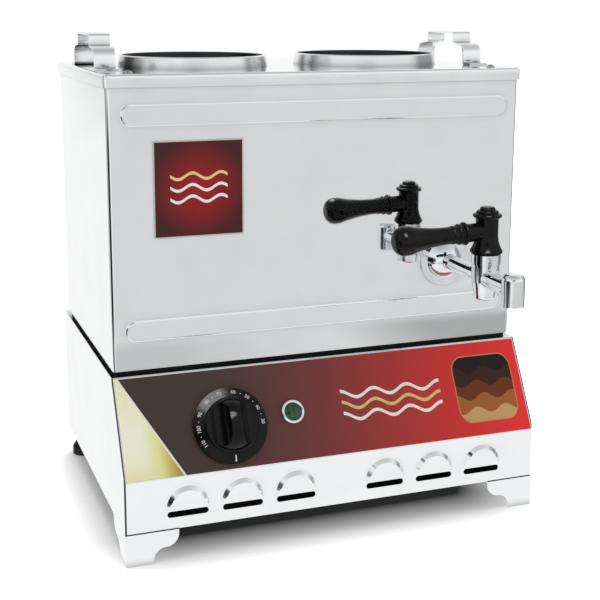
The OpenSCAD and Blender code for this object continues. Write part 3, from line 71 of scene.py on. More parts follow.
BODY_OF = {node: body for body, nodes in frame["record"]["behaviour"]["bodies"].items() for node in nodes}
SLOT_OF = {part["node"]: part["material_slot"] for part in frame["record"]["subparts"]}
print("nodes:", len(BODY_OF), "box:", [round(v, 4) for corner in cad_box for v in corner])

# %% [markdown]
# ## Places that several pieces share
# The tank's front face is the plane that most places are measured from. The box of the badge plate lies on
# it, so its rear face gives that plane. The thermostat's joint gives the dial's middle and the direction in
# which the control slope faces.

# %% Shared places
FRONT_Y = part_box("badge_plate")[1][1]
JOINTS = {joint["name"]: joint for joint in frame["joints"]}
dial_middle = Vector(JOINTS["thermostat_turn"]["pos_m"])
slope_out = -Vector(JOINTS["thermostat_turn"]["axis"]).normalized()
slope_up = slope_out.cross(Vector((1, 0, 0))).normalized()
DIAL = Matrix((
    (1, slope_up.x, slope_out.x, dial_middle.x),
    (0, slope_up.y, slope_out.y, dial_middle.y),
    (0, slope_up.z, slope_out.z, dial_middle.z),
    (0, 0, 0, 1),
))
print("front at y =", round(FRONT_Y, 5), "slope faces", [round(v, 3) for v in slope_out])

# %% [markdown]
# ## Camera
# The photograph was taken from the left and a little above, with its upright edges nearly parallel. A lens
# of about 71 mm gives that perspective. The lens was shifted, which keeps the urn in the middle of the
# picture although the camera looks over it, so the camera gets the same shift.

# %% Camera
HEADING = math.radians(20.26)
TILT = math.radians(11.3)
ROLL = math.radians(0.22)
CAMERA_PLACE = (-344.2 * MM, FRONT_Y - 877.5 * MM, 425.5 * MM)
camera_data = bpy.data.cameras.new("camera")
camera_data.sensor_width = 36
camera_data.lens = 70.88
camera_data.shift_y = -0.1
camera = bpy.data.objects.new("camera", camera_data)
aim = Matrix.Rotation(-HEADING, 4, "Z") @ Matrix.Rotation(math.pi / 2 - TILT, 4, "X")
aim = aim @ Matrix.Rotation(ROLL, 4, "Z")
camera.matrix_world = Matrix.Translation(CAMERA_PLACE) @ aim
scene.collection.objects.link(camera)
scene.camera = camera
print("camera at", [round(v, 3) for v in camera.location])

# %% [markdown]
# ## Nodes and colours
# Every material below is built from nodes. A few small helpers keep that readable. The first turns the hex
# colours that a designer writes into the linear values that the shader needs. The next ones add a node with its
# settings, its values and its links.

# %% Helpers for nodes
WHITE = (1, 1, 1, 1)


def linear(code):
    channels = [int(code[i:i + 2], 16) / 255 for i in (1, 3, 5)]
    return tuple(c / 12.92 if c <= 0.04045 else ((c + 0.055) / 1.055) ** 2.4 for c in channels) + (1.0,)


def feed(tree, node, inputs):
    """Fills sockets of a node. An input is a value, or an output socket to link from."""
    for socket, value in inputs.items():
        if isinstance(value, bpy.types.NodeSocket):
            tree.links.new(value, node.inputs[socket])
        else:
            node.inputs[socket].default_value = value


def add(tree, kind, inputs=None, **settings):
    node = tree.nodes.new(kind)
    for name, value in settings.items():
        setattr(node, name, value)
    feed(tree, node, inputs or {})
    return node


def blank_tree(owner):
    """The node tree of a material or a world, emptied."""
    owner.use_nodes = True
    owner.node_tree.nodes.clear()
    return owner.node_tree


def new_material(name):
    material = bpy.data.materials.new(name)
    tree = blank_tree(material)
    shader = add(tree, "ShaderNodeBsdfPrincipled")
    add(tree, "ShaderNodeOutputMaterial", {"Surface": shader.outputs[0]})
    place = add(tree, "ShaderNodeTexCoord").outputs["Object"]
    return material, tree, shader, place


print("white is", linear("#ffffff"))

# %% [markdown]
# The other helpers are the steps that most materials share: arithmetic, a change of range, a mix of two numbers
# or two colours, tones from a ramp, noise of a given size, and the distance from a box.

# %% Helpers for patterns
# Most of what a noise texture gives lies between these two values
NOISE_LOW, NOISE_HIGH = 0.3, 0.7


def calc(tree, operation, *values):
    return add(tree, "ShaderNodeMath", dict(enumerate(values)), operation=operation).outputs[0]


def between(tree, value, low, high, at_low=0.0, at_high=1.0):
    """Maps a value from one range to another, and holds it at both ends."""
    return add(tree, "ShaderNodeMapRange", {0: value, 1: low, 2: high, 3: at_low, 4: at_high}).outputs[0]


def blend(tree, share, one, other):
    return add(tree, "ShaderNodeMix", {0: share, 2: one, 3: other}, data_type="FLOAT").outputs[0]


def over(tree, mask, below, above, blend_type="MIX"):
    """Lays one colour over another where a mask is 1."""
    inputs = {0: mask, 6: below, 7: above}
    return add(tree, "ShaderNodeMix", inputs, data_type="RGBA", blend_type=blend_type).outputs[2]


def tones(tree, value, *stops):
    """Colours a value by a ramp with stops of (position, hex colour)."""
    ramp = add(tree, "ShaderNodeValToRGB", {0: value})
    elements = ramp.color_ramp.elements
    elements.remove(elements[-1])
    for i, (position, code) in enumerate(stops):
        element = elements[0] if i == 0 else elements.new(position)
        element.position = position
        element.color = linear(code)
    return ramp.outputs[0]


def noise(tree, place, length, detail):
    inputs = {"Vector": place, "Scale": 1 / length, "Detail": detail}
    return add(tree, "ShaderNodeTexNoise", inputs).outputs[0]


def bump(tree, height, strength, distance):
    inputs = {"Height": height, "Strength": strength, "Distance": distance}
    return add(tree, "ShaderNodeBump", inputs)


def beyond_box(tree, place, middle, half):
    """How far a place is from a box around a middle. It is 0 inside the box."""
    offset = add(tree, "ShaderNodeVectorMath", {0: place, 1: middle}, operation="SUBTRACT").outputs[0]
    offset = add(tree, "ShaderNodeVectorMath", {0: offset}, operation="ABSOLUTE").outputs[0]
    offset = add(tree, "ShaderNodeVectorMath", {0: offset, 1: half}, operation="SUBTRACT").outputs[0]
    offset = add(tree, "ShaderNodeVectorMath", {0: offset, 1: (0, 0, 0)}, operation="MAXIMUM").outputs[0]
    return add(tree, "ShaderNodeVectorMath", {0: offset}, operation="LENGTH").outputs["Value"]


print("noise from", NOISE_LOW, "to", NOISE_HIGH)

# %% [markdown]
# ## Studio
# The urn stands on a white sweep in a white tent. The paper takes light and darkens close to the base, where
# little light gets in, and a glow that grows with distance lifts the far paper to white for the camera.
# Polished sheet shows the paper more than anything else: bright close to the urn, and duller further ahead and
# at the far right.

# %% Floor
FLOOR_HALF = 6.0
floor_mesh = bpy.data.meshes.new("floor")
floor_corners = [(-FLOOR_HALF, -FLOOR_HALF, 0), (FLOOR_HALF, -FLOOR_HALF, 0),
                 (FLOOR_HALF, FLOOR_HALF, 0), (-FLOOR_HALF, FLOOR_HALF, 0)]
floor_mesh.from_pydata(floor_corners, [], [(0, 1, 2, 3)])
floor = bpy.data.objects.new("floor", floor_mesh)
scene.collection.objects.link(floor)
print("floor", FLOOR_HALF * 2, "m wide")

# %% [markdown]
# The paper's shadow ends near the base's outline, and from there on the glow for the camera grows. Reflections
# see an even glow instead, with its duller parts.

# %% Paper
SHADOW_MIDDLE = (-0.005, 0.0575, 0)
SHADOW_HALF = (0.125, 0.1005, 1.0)
GLOW_FROM, GLOW_FULL, GLOW = 0.015, 0.085, 0.85
CONTACT_REACH, CONTACT_AO, CONTACT_TONE = 0.12, (0.35, 0.90), (0.05, 0.92)
DULL_AHEAD, DULL_FROM_LEFT, DULL_RIGHT, DULL_TONE = (-0.40, -0.52), (-0.50, -0.25), (0.3, 0.8), 0.76
paper = bpy.data.materials.new("white_paper_sweep")
tree = blank_tree(paper)
light_path = add(tree, "ShaderNodeLightPath")
place = add(tree, "ShaderNodeTexCoord").outputs["Object"]
axes = add(tree, "ShaderNodeSeparateXYZ", {0: place})
far = beyond_box(tree, place, SHADOW_MIDDLE, SHADOW_HALF)
lift = between(tree, far, GLOW_FROM, GLOW_FULL, 0.0, GLOW)
contact = add(tree, "ShaderNodeAmbientOcclusion", {"Distance": CONTACT_REACH}, samples=12)
darkened = between(tree, contact.outputs["AO"], *CONTACT_AO, *CONTACT_TONE)
matt = add(tree, "ShaderNodeBsdfDiffuse", {"Color": darkened})
lifted = calc(tree, "MULTIPLY", light_path.outputs["Is Camera Ray"], lift)
glow = add(tree, "ShaderNodeEmission", {"Color": WHITE, "Strength": lifted})
lit_paper = add(tree, "ShaderNodeAddShader", {0: matt.outputs[0], 1: glow.outputs[0]})
ahead = between(tree, axes.outputs["Y"], *DULL_AHEAD)
not_left = between(tree, axes.outputs["X"], *DULL_FROM_LEFT)
far_right = between(tree, axes.outputs["X"], *DULL_RIGHT)
dull = calc(tree, "MAXIMUM", calc(tree, "MULTIPLY", ahead, not_left), far_right)
mirrored = between(tree, dull, 0.0, 1.0, 1.0, DULL_TONE)
mirror_glow = add(tree, "ShaderNodeEmission", {"Color": WHITE, "Strength": mirrored})
shown_paper = add(tree, "ShaderNodeMixShader", {
    0: light_path.outputs["Is Glossy Ray"], 1: lit_paper.outputs[0], 2: mirror_glow.outputs[0]})
add(tree, "ShaderNodeOutputMaterial", {"Surface": shown_paper.outputs[0]})
floor_mesh.materials.append(paper)
print("paper nodes:", len(tree.nodes))

# %% [markdown]
# The tent is white for the camera. In reflections it is brightest at the horizon and dims towards its top,
# so that bends and pressed edges read as soft lines.

# %% World
DIM_FROM, DIM_FULL = 0.45, 0.98
HORIZON_TONE, TOP_TONE, PLAIN_TONE = 0.97, 0.50, 0.52
world = bpy.data.worlds.new("studio")
scene.world = world
tree = blank_tree(world)
light_path = add(tree, "ShaderNodeLightPath")
direction = add(tree, "ShaderNodeSeparateXYZ", {0: add(tree, "ShaderNodeTexCoord").outputs["Generated"]})
tent = between(tree, direction.outputs["Z"], DIM_FROM, DIM_FULL, HORIZON_TONE, TOP_TONE)
tone = blend(tree, light_path.outputs["Is Glossy Ray"], PLAIN_TONE, tent)
shown_tent = blend(tree, light_path.outputs["Is Camera Ray"], tone, 1.0)
background = add(tree, "ShaderNodeBackground", {"Color": WHITE, "Strength": shown_tent})
add(tree, "ShaderNodeOutputWorld", {"Surface": background.outputs[0]})
scene.view_settings.view_transform = "Standard"
print("world nodes:", len(tree.nodes))

# %% [markdown]
# A white tent alone makes chrome look like plaster. Photographers put black cards around it: the round parts
# pick them up as dark streaks, and the rounded left ends of ribs and louvres turn dark. The cards fade out
# towards their edges, so that flat sheets show them as soft shades. Only reflections see them.

# %% Black cards
STEPS = 12
EDGE_GAIN = 1.5
card_black = bpy.data.materials.new("black_card")
tree = blank_tree(card_black)
dark = add(tree, "ShaderNodeAttribute", attribute_name="dark").outputs["Fac"]
unseen = add(tree, "ShaderNodeBsdfTransparent")
matt = add(tree, "ShaderNodeBsdfDiffuse", {"Color": linear("#0a0a0a")})
faded = add(tree, "ShaderNodeMixShader", {0: dark, 1: unseen.outputs[0], 2: matt.outputs[0]})
add(tree, "ShaderNodeOutputMaterial", {"Surface": faded.outputs[0]})


def card(name, corners, foot_fade, strength):
    """A card between four corners that fades out at its edges. The foot fade is 0 for an edge like the others."""
    a, b, c, d = (Vector(corner) for corner in corners)
    row = STEPS + 1
    places, shades = [], []
    for j in range(row):
        up = j / STEPS
        fade_up = math.sin((foot_fade + (1 - foot_fade) * up) * math.pi)
        for i in range(row):
            along = i / STEPS
            fade_along = math.sin(along * math.pi)
            places.append(a.lerp(b, along).lerp(d.lerp(c, along), up))
            shades.append(strength * min(1.0, EDGE_GAIN * fade_along) * min(1.0, EDGE_GAIN * fade_up))
    starts = [j * row + i for j in range(STEPS) for i in range(STEPS)]
    mesh = bpy.data.meshes.new(name)
    mesh.from_pydata(places, [], [(k, k + 1, k + row + 1, k + row) for k in starts])
    mesh.attributes.new("dark", "FLOAT", "POINT").data.foreach_set("value", shades)
    mesh.materials.append(card_black)
    piece = bpy.data.objects.new(name, mesh)
    scene.collection.objects.link(piece)
    piece.visible_camera = False
    piece.visible_diffuse = False
    piece.visible_shadow = False
    piece.visible_transmission = False


print("a card has", STEPS * STEPS, "faces")

# %% [markdown]
# Four cards lie on the paper, one hangs over the front like the dark room behind a camera, and the rest stand at
# the sides. A card has its corners, the fade of its foot and its strength.

# %% Place the cards
CARD_LIFT = 1 * MM


def upright(azimuth, distance, width, low, high):
    """Corners of an upright card at an angle to the right of straight ahead, facing the urn."""
    turn = math.radians(azimuth)
    middle = Vector((math.sin(turn), -math.cos(turn), 0)) * distance
    side = Vector((math.cos(turn), math.sin(turn), 0)) * width / 2
    foot, top = Vector((0, 0, low)), Vector((0, 0, high))
    return [middle - side + foot, middle + side + foot, middle + side + top, middle - side + top]


def lying(left, right, front, back):
    """Corners of a card that lies just above the paper."""
    return [(left, front, CARD_LIFT), (right, front, CARD_LIFT), (right, back, CARD_LIFT), (left, back, CARD_LIFT)]


CARDS = {
    "black_card_left": (upright(-74, 0.64, 0.62, 0.0, 0.36), 0.12, 1.0),
    "black_card_left_front": (upright(-52, 0.75, 0.36, 0.0, 0.32), 0.12, 0.85),
    "black_card_left_back": (upright(-126, 0.75, 0.42, 0.0, 0.62), 0.08, 0.9),
    "black_card_left_high": (upright(-125, 0.75, 1.10, 0.22, 0.90), 0.0, 0.85),
    "black_card_right": (upright(96, 0.72, 0.90, 0.0, 0.65), 0.08, 0.65),
    "black_card_over_front": (upright(-17, 1.25, 0.78, 0.49, 1.00), 0.0, 1.0),
    "black_card_floor_left": (lying(-0.75, -0.25, -0.45, -0.10), 0.0, 0.9),
    "black_card_floor_right": (lying(0.34, 0.82, -0.32, -0.05), 0.0, 0.6),
    "black_card_near_left": (lying(-0.40, 0.12, -0.62, -0.44), 0.0, 0.20),
    "black_card_near_right": (lying(0.22, 0.75, -0.62, -0.44), 0.0, 0.40),
}
for name, (corners, foot_fade, strength) in CARDS.items():
    card(name, corners, foot_fade, strength)
print("cards:", len(CARDS))

# %% [markdown]
# Three softboxes give the plain light: a key at the left, a fill at the right, and a large one above and
# behind. They don't show in reflections, which see the tent and the cards instead.

# %% Lamps
SOFTBOXES = {
    "key_softbox": ((-1.5, -1.5, 1.6), 1.8, 1.8, 11),
    "fill_softbox": ((1.7, -1.1, 0.9), 1.0, 1.2, 4),
    "top_softbox": ((0.15, 1.0, 2.2), 1.6, 1.6, 42),
}


def softbox(name, place, target, width, height, watts):
    data = bpy.data.lights.new(name, "AREA")
    data.shape = "RECTANGLE"
    data.size = width
    data.size_y = height
    data.energy = watts
    lamp = bpy.data.objects.new(name, data)
    lamp.location = place
    lamp.rotation_euler = (Vector(target) - Vector(place)).to_track_quat("-Z", "Y").to_euler()
    scene.collection.objects.link(lamp)
    return lamp


urn_middle = Vector(cad_box[0]).lerp(Vector(cad_box[1]), 0.5)
for name, (place, width, height, watts) in SOFTBOXES.items():
    softbox(name, place, urn_middle, width, height, watts).visible_glossy = False
print("lamps:", list(SOFTBOXES))

# %% [markdown]
# ## Polished stainless sheet
# The tank, the cover and the base are folded from 304 stainless steel sheet with a bright polish. It is
# almost a mirror, but a rolled sheet is never quite flat, so reflections wander a little over hand-wide
# swells. Polishing also leaves hair-fine lines. Both are bump patterns whose scales come from millimetres.

# %% Polished stainless
SWELL_LENGTH, SMEAR_LENGTH = 140 * MM, 35 * MM
# Polishing lines are drawn coarser than real ones, so that they show at all
LINE_WIDTH, LINE_STRETCH = 0.8 * MM, (1.0, 1.0, 0.02)
# Painted shade near steps and seams: how far the occlusion looks, and the tones it maps to
PAINTED_SHADE_REACH, PAINTED_SHADE_AO, PAINTED_SHADE_TONE = 7 * MM, (0.45, 0.95), (0.55, 1.0)
# The mill skin's dark tone is partly painted shade for the insides
MILL_SKIN_AND_PAINTED_SHADE, MILL_ROUGH = "#4e5052", 0.38


def polished_sheet(name, colour, rough_low, rough_high, swell, grain):
    material, tree, shader, place = new_material(name)
    swells = noise(tree, place, SWELL_LENGTH, 1.0)
    stretched = add(tree, "ShaderNodeMapping", {"Vector": place, "Scale": LINE_STRETCH})
    lines = noise(tree, stretched.outputs[0], LINE_WIDTH, 2.0)
    smears = noise(tree, place, SMEAR_LENGTH, 3.0)
    rough = between(tree, smears, NOISE_LOW, NOISE_HIGH, rough_low, rough_high)
    smeared = tones(tree, smears, (0.3, colour), (0.75, "#f1f2f3"))
    coarse = bump(tree, swells, swell, 1 * MM)
    fine = bump(tree, lines, grain, 0.02 * MM)
    feed(tree, fine, {"Normal": coarse.outputs[0]})
    # Painted shade: ambient occlusion darkens the sheet's colour close to steps and seams
    corner = add(tree, "ShaderNodeAmbientOcclusion", {"Distance": PAINTED_SHADE_REACH}, samples=8)
    painted_corner_shade = between(tree, corner.outputs["AO"], *PAINTED_SHADE_AO, *PAINTED_SHADE_TONE)
    shaded = over(tree, 1.0, smeared, painted_corner_shade, "MULTIPLY")
    # Faces marked as inside keep the dull skin that the sheet had from the mill; its dark tone is partly painted
    # shade for the dim insides
    inside = add(tree, "ShaderNodeAttribute", attribute_name="inside").outputs["Fac"]
    feed(tree, shader, {
        "Metallic": 1.0,
        "Base Color": over(tree, inside, shaded, linear(MILL_SKIN_AND_PAINTED_SHADE)),
        "Roughness": blend(tree, inside, rough, MILL_ROUGH),
        "Normal": fine.outputs[0],
    })
    return material


mirror_steel = polished_sheet("polished_stainless_sheet", "#ecedee", 0.02, 0.05, 0.06, 0.08)
bright_steel = polished_sheet("bright_stainless_strip", "#eeeff0", 0.08, 0.13, 0.03, 0.08)
spun_steel = polished_sheet("spun_stainless_collar", "#eeeff0", 0.20, 0.26, 0.02, 0.05)
satin_steel = polished_sheet("satin_stainless_inside", "#b8babd", 0.28, 0.40, 0.05, 0.30)
print("steel:", mirror_steel.name, bright_steel.name, spun_steel.name, satin_steel.name)

# %% [markdown]
# ## Chrome, brass and plated steel
# The tap is chrome on brass: harder, bluer and smoother than the sheet. Fasteners are zinc plated, which is
# duller, with a faint mottle of about 2 mm.

# %% Other metals
def cast_metal(name, dark, light, rough, mottle_mm):
    material, tree, shader, place = new_material(name)
    mottle = noise(tree, place, mottle_mm * MM, 3.0)
    feed(tree, shader, {
        "Metallic": 1.0,
        "Base Color": tones(tree, mottle, (0.35, dark), (0.7, light)),
        "Roughness": between(tree, mottle, NOISE_LOW, NOISE_HIGH, rough * 0.8, rough * 1.3),
    })
    return material


chrome = cast_metal("chrome_plate", "#dfe2e5", "#eceef0", 0.045, 12)
zinc = cast_metal("zinc_plated_steel", "#9b9da0", "#c0c2c4", 0.24, 2)
brass = cast_metal("turned_brass", "#a98443", "#c9a763", 0.22, 3)
copper = cast_metal("drawn_copper", "#9c5f35", "#c07e4d", 0.26, 3)
heater_alloy = cast_metal("oxidised_heating_tube", "#55565a", "#85868a", 0.38, 5)
print("metals:", chrome.name, zinc.name, brass.name, copper.name, heater_alloy.name)

# %% [markdown]
# ## Moulded plastic and rubber
# The lever and the dial are black phenolic mouldings with a half gloss. A fine pebble of about 0.6 mm breaks
# their highlights. Rubber is the same idea, rougher and without the gloss.

# %% Plastics and rubber
CLOUD_LENGTH = 25 * MM
PEBBLE_DEPTH = 0.05 * MM


def moulded(name, dark, light, rough, pebble_mm, depth, shine=0.5):
    material, tree, shader, place = new_material(name)
    pebble = noise(tree, place, pebble_mm * MM, 2.0)
    cloud = noise(tree, place, CLOUD_LENGTH, 2.0)
    feed(tree, shader, {
        "Base Color": tones(tree, cloud, (0.35, dark), (0.7, light)),
        "Roughness": between(tree, cloud, NOISE_LOW, NOISE_HIGH, rough * 0.85, rough * 1.2),
        "Normal": bump(tree, pebble, depth, PEBBLE_DEPTH).outputs[0],
        "IOR": 1.5,
        "Specular IOR Level": shine,
    })
    return material


phenolic = moulded("black_phenolic_moulding", "#060606", "#0a0a0b", 0.17, 0.6, 0.06, 0.17)
rubber = moulded("black_rubber", "#0c0c0c", "#141414", 0.62, 0.8, 0.30, 0.25)
nylon = moulded("black_nylon", "#161617", "#212123", 0.45, 0.7, 0.20)
silicone = moulded("red_silicone", "#a04a33", "#bd6044", 0.5, 0.8, 0.15)
cream = moulded("cream_ceramic_and_plastic", "#cdc5b1", "#ded8c8", 0.45, 1.0, 0.10)
sleeve = moulded("red_wire_sleeve", "#7d1b18", "#9c2722", 0.42, 0.8, 0.10)
print("moulded:", phenolic.name, rubber.name, nylon.name, silicone.name, cream.name, sleeve.name)

# %% [markdown]
# ## Masks for prints
# Film and badge are printed with wave lines. A mask is 1 where the ink lies. The simplest one is a span between
# two values, and a wave line is a span that swings up and down as it runs along X.

# %% Masks
SOFT_EDGE = 0.3 * MM
WAVE_WIDTH = 2.4 * MM


def span(tree, value, low, high):
    """1 between two values, with soft edges."""
    rise = between(tree, value, low - SOFT_EDGE / 2, low + SOFT_EDGE / 2)
    fall = between(tree, value, high + SOFT_EDGE / 2, high - SOFT_EDGE / 2)
    return calc(tree, "MULTIPLY", rise, fall)


def wave_line(tree, along, across, middle, swing, length, width):
    """A mask for a line that swings about a middle as it runs along an axis."""
    sine = calc(tree, "SINE", calc(tree, "MULTIPLY", along, 2 * math.pi / length))
    drift = calc(tree, "MULTIPLY_ADD", sine, -swing, across)
    return span(tree, drift, middle - width / 2, middle + width / 2)


def wave_band(tree, colour, x_out, z_out, ends, levels, swing, length):
    """Lays wave lines over a colour. A level is a line's height and its hex colour."""
    reach = span(tree, x_out, *ends)
    for height, code in levels:
        line = wave_line(tree, x_out, z_out, height, swing, length, WAVE_WIDTH)
        colour = over(tree, calc(tree, "MULTIPLY", line, reach), colour, linear(code))
    return colour


print("soft edges:", SOFT_EDGE / MM, "mm")

# %% [markdown]
# ## Printed film on the control slope
# The film is printed from behind. Its ground runs from dark brown at the left to red at the right, and a
# gold corner with a white edge lies at its left end. The rest is a generic design: a band of waves, and at
# the right end a rounded panel of layered waves in tea colours. The film lies on one slope, so X and Z are
# enough to draw on it.

# %% Printed film
FILM_HALF = 174.5 * MM
GROUND = ((0.05, "#443937"), (0.22, "#493b38"), (0.38, "#653b39"), (0.50, "#823a37"), (0.66, "#aa3935"),
          (0.82, "#d03532"), (1.0, "#f03236"))
GOLD = ((0.0, "#f2eec0"), (0.18, "#fdfbdc"), (0.45, "#fefdea"), (1.0, "#f8f8c8"))
GOLD_FOOT, GOLD_TOP, GOLD_WIDTH = 70 * MM, 132 * MM, 90 * MM
# Towards its tip the gold turns to lemon and then to tan
LEMON, TAN = (-160 * MM, -148 * MM), (-148 * MM, -134 * MM)
# The white edge starts at the top left corner and ends 43 mm further right at the foot
EDGE_X, EDGE_Z, EDGE_LEAN = -173 * MM, 137 * MM, 0.632
WHITE_EDGE = (-0.2 * MM, 1.5 * MM)
BAND_ENDS = (8 * MM, 98 * MM)
BAND_LEVELS = ((111 * MM, "#f1efe9"), (103 * MM, "#d9c27c"), (95 * MM, "#f1efe9"))
film, tree, shader, place = new_material("printed_polyester_film")
axes = add(tree, "ShaderNodeSeparateXYZ", {0: place})
x_out, z_out = axes.outputs["X"], axes.outputs["Z"]
ground = tones(tree, between(tree, x_out, -FILM_HALF, FILM_HALF), *GROUND)
lean = calc(tree, "MULTIPLY_ADD", z_out, EDGE_LEAN, -EDGE_X - EDGE_Z * EDGE_LEAN)
from_edge = calc(tree, "ADD", x_out, lean)
gold = tones(tree, between(tree, z_out, GOLD_FOOT, GOLD_TOP), *GOLD)
gold = over(tree, between(tree, x_out, *LEMON), gold, linear("#f0ef9e"))
gold = over(tree, between(tree, x_out, *TAN), gold, linear("#bd9a4a"))
colour = over(tree, span(tree, from_edge, -GOLD_WIDTH, 0.0), ground, gold)
colour = over(tree, span(tree, from_edge, *WHITE_EDGE), colour, linear("#f4f2ea"))
colour = wave_band(tree, colour, x_out, z_out, BAND_ENDS, BAND_LEVELS, 2.6 * MM, 30 * MM)
print("film nodes so far:", len(tree.nodes))

# %% [markdown]
# The panel at the right end is a box with rounded corners: all that lies within a radius of a smaller box. Each
# layer is a wide wave line that reaches from its crest down below the panel.

# %% Panel on the film
PANEL_MIDDLE = (140 * MM, 0, 104 * MM)
PANEL_CORE = (17 * MM, 1.0, 14 * MM)
PANEL_RIM, PANEL_INNER = 11.2 * MM, 10.4 * MM
LAYER_HEIGHT = 60 * MM
LAYERS = ((118, "#3a1c12", 0.0), (108, "#6b3219", 9.0), (98, "#a3622f", 4.0), (88, "#c9a06a", 13.0))
from_core = beyond_box(tree, place, PANEL_MIDDLE, PANEL_CORE)
layers = linear("#1c110d")
for crest, code, shift in LAYERS:
    slid = calc(tree, "ADD", x_out, shift * MM)
    layer = wave_line(tree, slid, z_out, crest * MM - LAYER_HEIGHT / 2, 2.5 * MM, 27 * MM, LAYER_HEIGHT)
    layers = over(tree, layer, layers, linear(code))
colour = over(tree, span(tree, from_core, -1.0, PANEL_RIM), colour, linear("#c98a5c"))
colour = over(tree, span(tree, from_core, -1.0, PANEL_INNER), colour, layers)
ripple = noise(tree, place, 30 * MM, 1.0)
feed(tree, shader, {
    "Base Color": colour,
    "Roughness": between(tree, ripple, NOISE_LOW, NOISE_HIGH, 0.29, 0.31),
    "Specular IOR Level": 0.2,
})
print("film nodes:", len(tree.nodes))

# %% [markdown]
# ## Badge, lens and dial print
# The badge is an enamelled plate, dark red and lighter in the middle, with a thin silver border and the same
# kind of waves as the film.

# %% Badge
BORDER = 0.9 * MM
WAVES_HALF = 23 * MM
GLOW_REACH = 50 * MM
BADGE_LEVELS = ((10 * MM, "#e3d08d"), (1 * MM, "#f1efe9"), (-8 * MM, "#f1efe9"))
badge_low, badge_high = (Vector(corner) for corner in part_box("badge_plate"))
badge_middle = badge_low.lerp(badge_high, 0.5)
enamel, tree, shader, place = new_material("dark_red_enamel")
axes = add(tree, "ShaderNodeSeparateXYZ", {0: place})
x_out, z_out = axes.outputs["X"], axes.outputs["Z"]
from_middle = add(tree, "ShaderNodeVectorMath", {0: place, 1: tuple(badge_middle)}, operation="DISTANCE")
colour = tones(tree, between(tree, from_middle.outputs["Value"], 0.0, GLOW_REACH),
               (0.0, "#a81d24"), (0.4, "#861c20"), (0.75, "#4d1f20"), (1.0, "#3b2423"))
levels = [(badge_middle.z + height, code) for height, code in BADGE_LEVELS]
ends = (badge_middle.x - WAVES_HALF, badge_middle.x + WAVES_HALF)
colour = wave_band(tree, colour, x_out, z_out, ends, levels, 2.4 * MM, 23 * MM)
in_border = calc(tree, "MULTIPLY", span(tree, x_out, badge_low.x + BORDER, badge_high.x - BORDER),
                 span(tree, z_out, badge_low.z + BORDER, badge_high.z - BORDER))
feed(tree, shader, {
    "Base Color": over(tree, in_border, linear("#c9c6c2"), colour),
    "Normal": bump(tree, noise(tree, place, 4 * MM, 1.0), 0.05, 0.1 * MM).outputs[0],
    "Roughness": 0.28,
    "Specular IOR Level": 0.2,
})
print("badge nodes:", len(tree.nodes))

# %% [markdown]
# The pilot lamp's lens is moulded with fine ribs that scatter its light. The dial's figures are white ink, a
# little worn.

# %% Lens and ink
RIB_SCALE = 1 / (14 * MM)
lens_green, tree, shader, place = new_material("ribbed_green_polycarbonate")
ribs = add(tree, "ShaderNodeTexWave", {"Vector": place, "Scale": RIB_SCALE, "Distortion": 0.0},
           wave_type="BANDS", bands_direction="X").outputs["Fac"]
feed(tree, shader, {
    "Base Color": tones(tree, ribs, (0.2, "#1a4722"), (0.8, "#25592d")),
    "Normal": bump(tree, ribs, 0.25, 0.3 * MM).outputs[0],
    "Roughness": 0.15,
    "Transmission Weight": 0.15,
    "IOR": 1.5,
})

ink, tree, shader, place = new_material("white_dial_ink")
worn = noise(tree, place, 1.5 * MM, 2.0)
feed(tree, shader, {"Base Color": tones(tree, worn, (0.3, "#d8d8d6"), (0.6, "#f3f3f1")), "Roughness": 0.5})
print("finishes:", lens_green.name, ink.name)

# %% [markdown]
# ## Dressing the construction pieces
# A construction node comes in as loose triangles, which can only be shaded flat. A copy with its corners
# merged can be shaded smooth over its bends and still keep its sharp edges. The normals of two forms are bent a
# little further: those of the ribs' flanks and of the collars' walls.

# %% Bent normals
RIB_FOOT = 0.3 * MM
RIB_SOFTNESS = 0.45
FRONT_OUT = Vector((0, -1, 0))
FLANK_LOW, FLANK_HIGH = 0.5, 0.75
WALL_LEAN = 0.3


def rise_softly(normal, place):
    """A pressed rib leaves the front in a soft curve: at its foot, a flank keeps the direction of the front."""
    if not FLANK_LOW < normal.dot(FRONT_OUT) < FLANK_HIGH or place.y > FRONT_Y + RIB_FOOT:
        return normal
    share = 1.0 if place.y > FRONT_Y - RIB_FOOT else RIB_SOFTNESS * (1 - abs(normal.x))
    return normal.lerp(FRONT_OUT, share).normalized()


def stand_upright(normal, place):
    """The collars' walls lean by a few degrees only, so they are shaded as if they stood upright."""
    return Vector((normal.x, normal.y, 0)).normalized() if abs(normal.z) < WALL_LEAN else normal


BENDS = {"tank_shell": rise_softly, "pot_collar_left": stand_upright, "pot_collar_right": stand_upright}
print("bent further:", list(BENDS))

# %% [markdown]
# Every corner of a copy gets its own normal. A plain average would let the many thin triangles of a bend tilt
# the flat sheet beside it, so a face counts by the area of its whole plane.

# %% Normals
SAME_PLANE = 0.999995


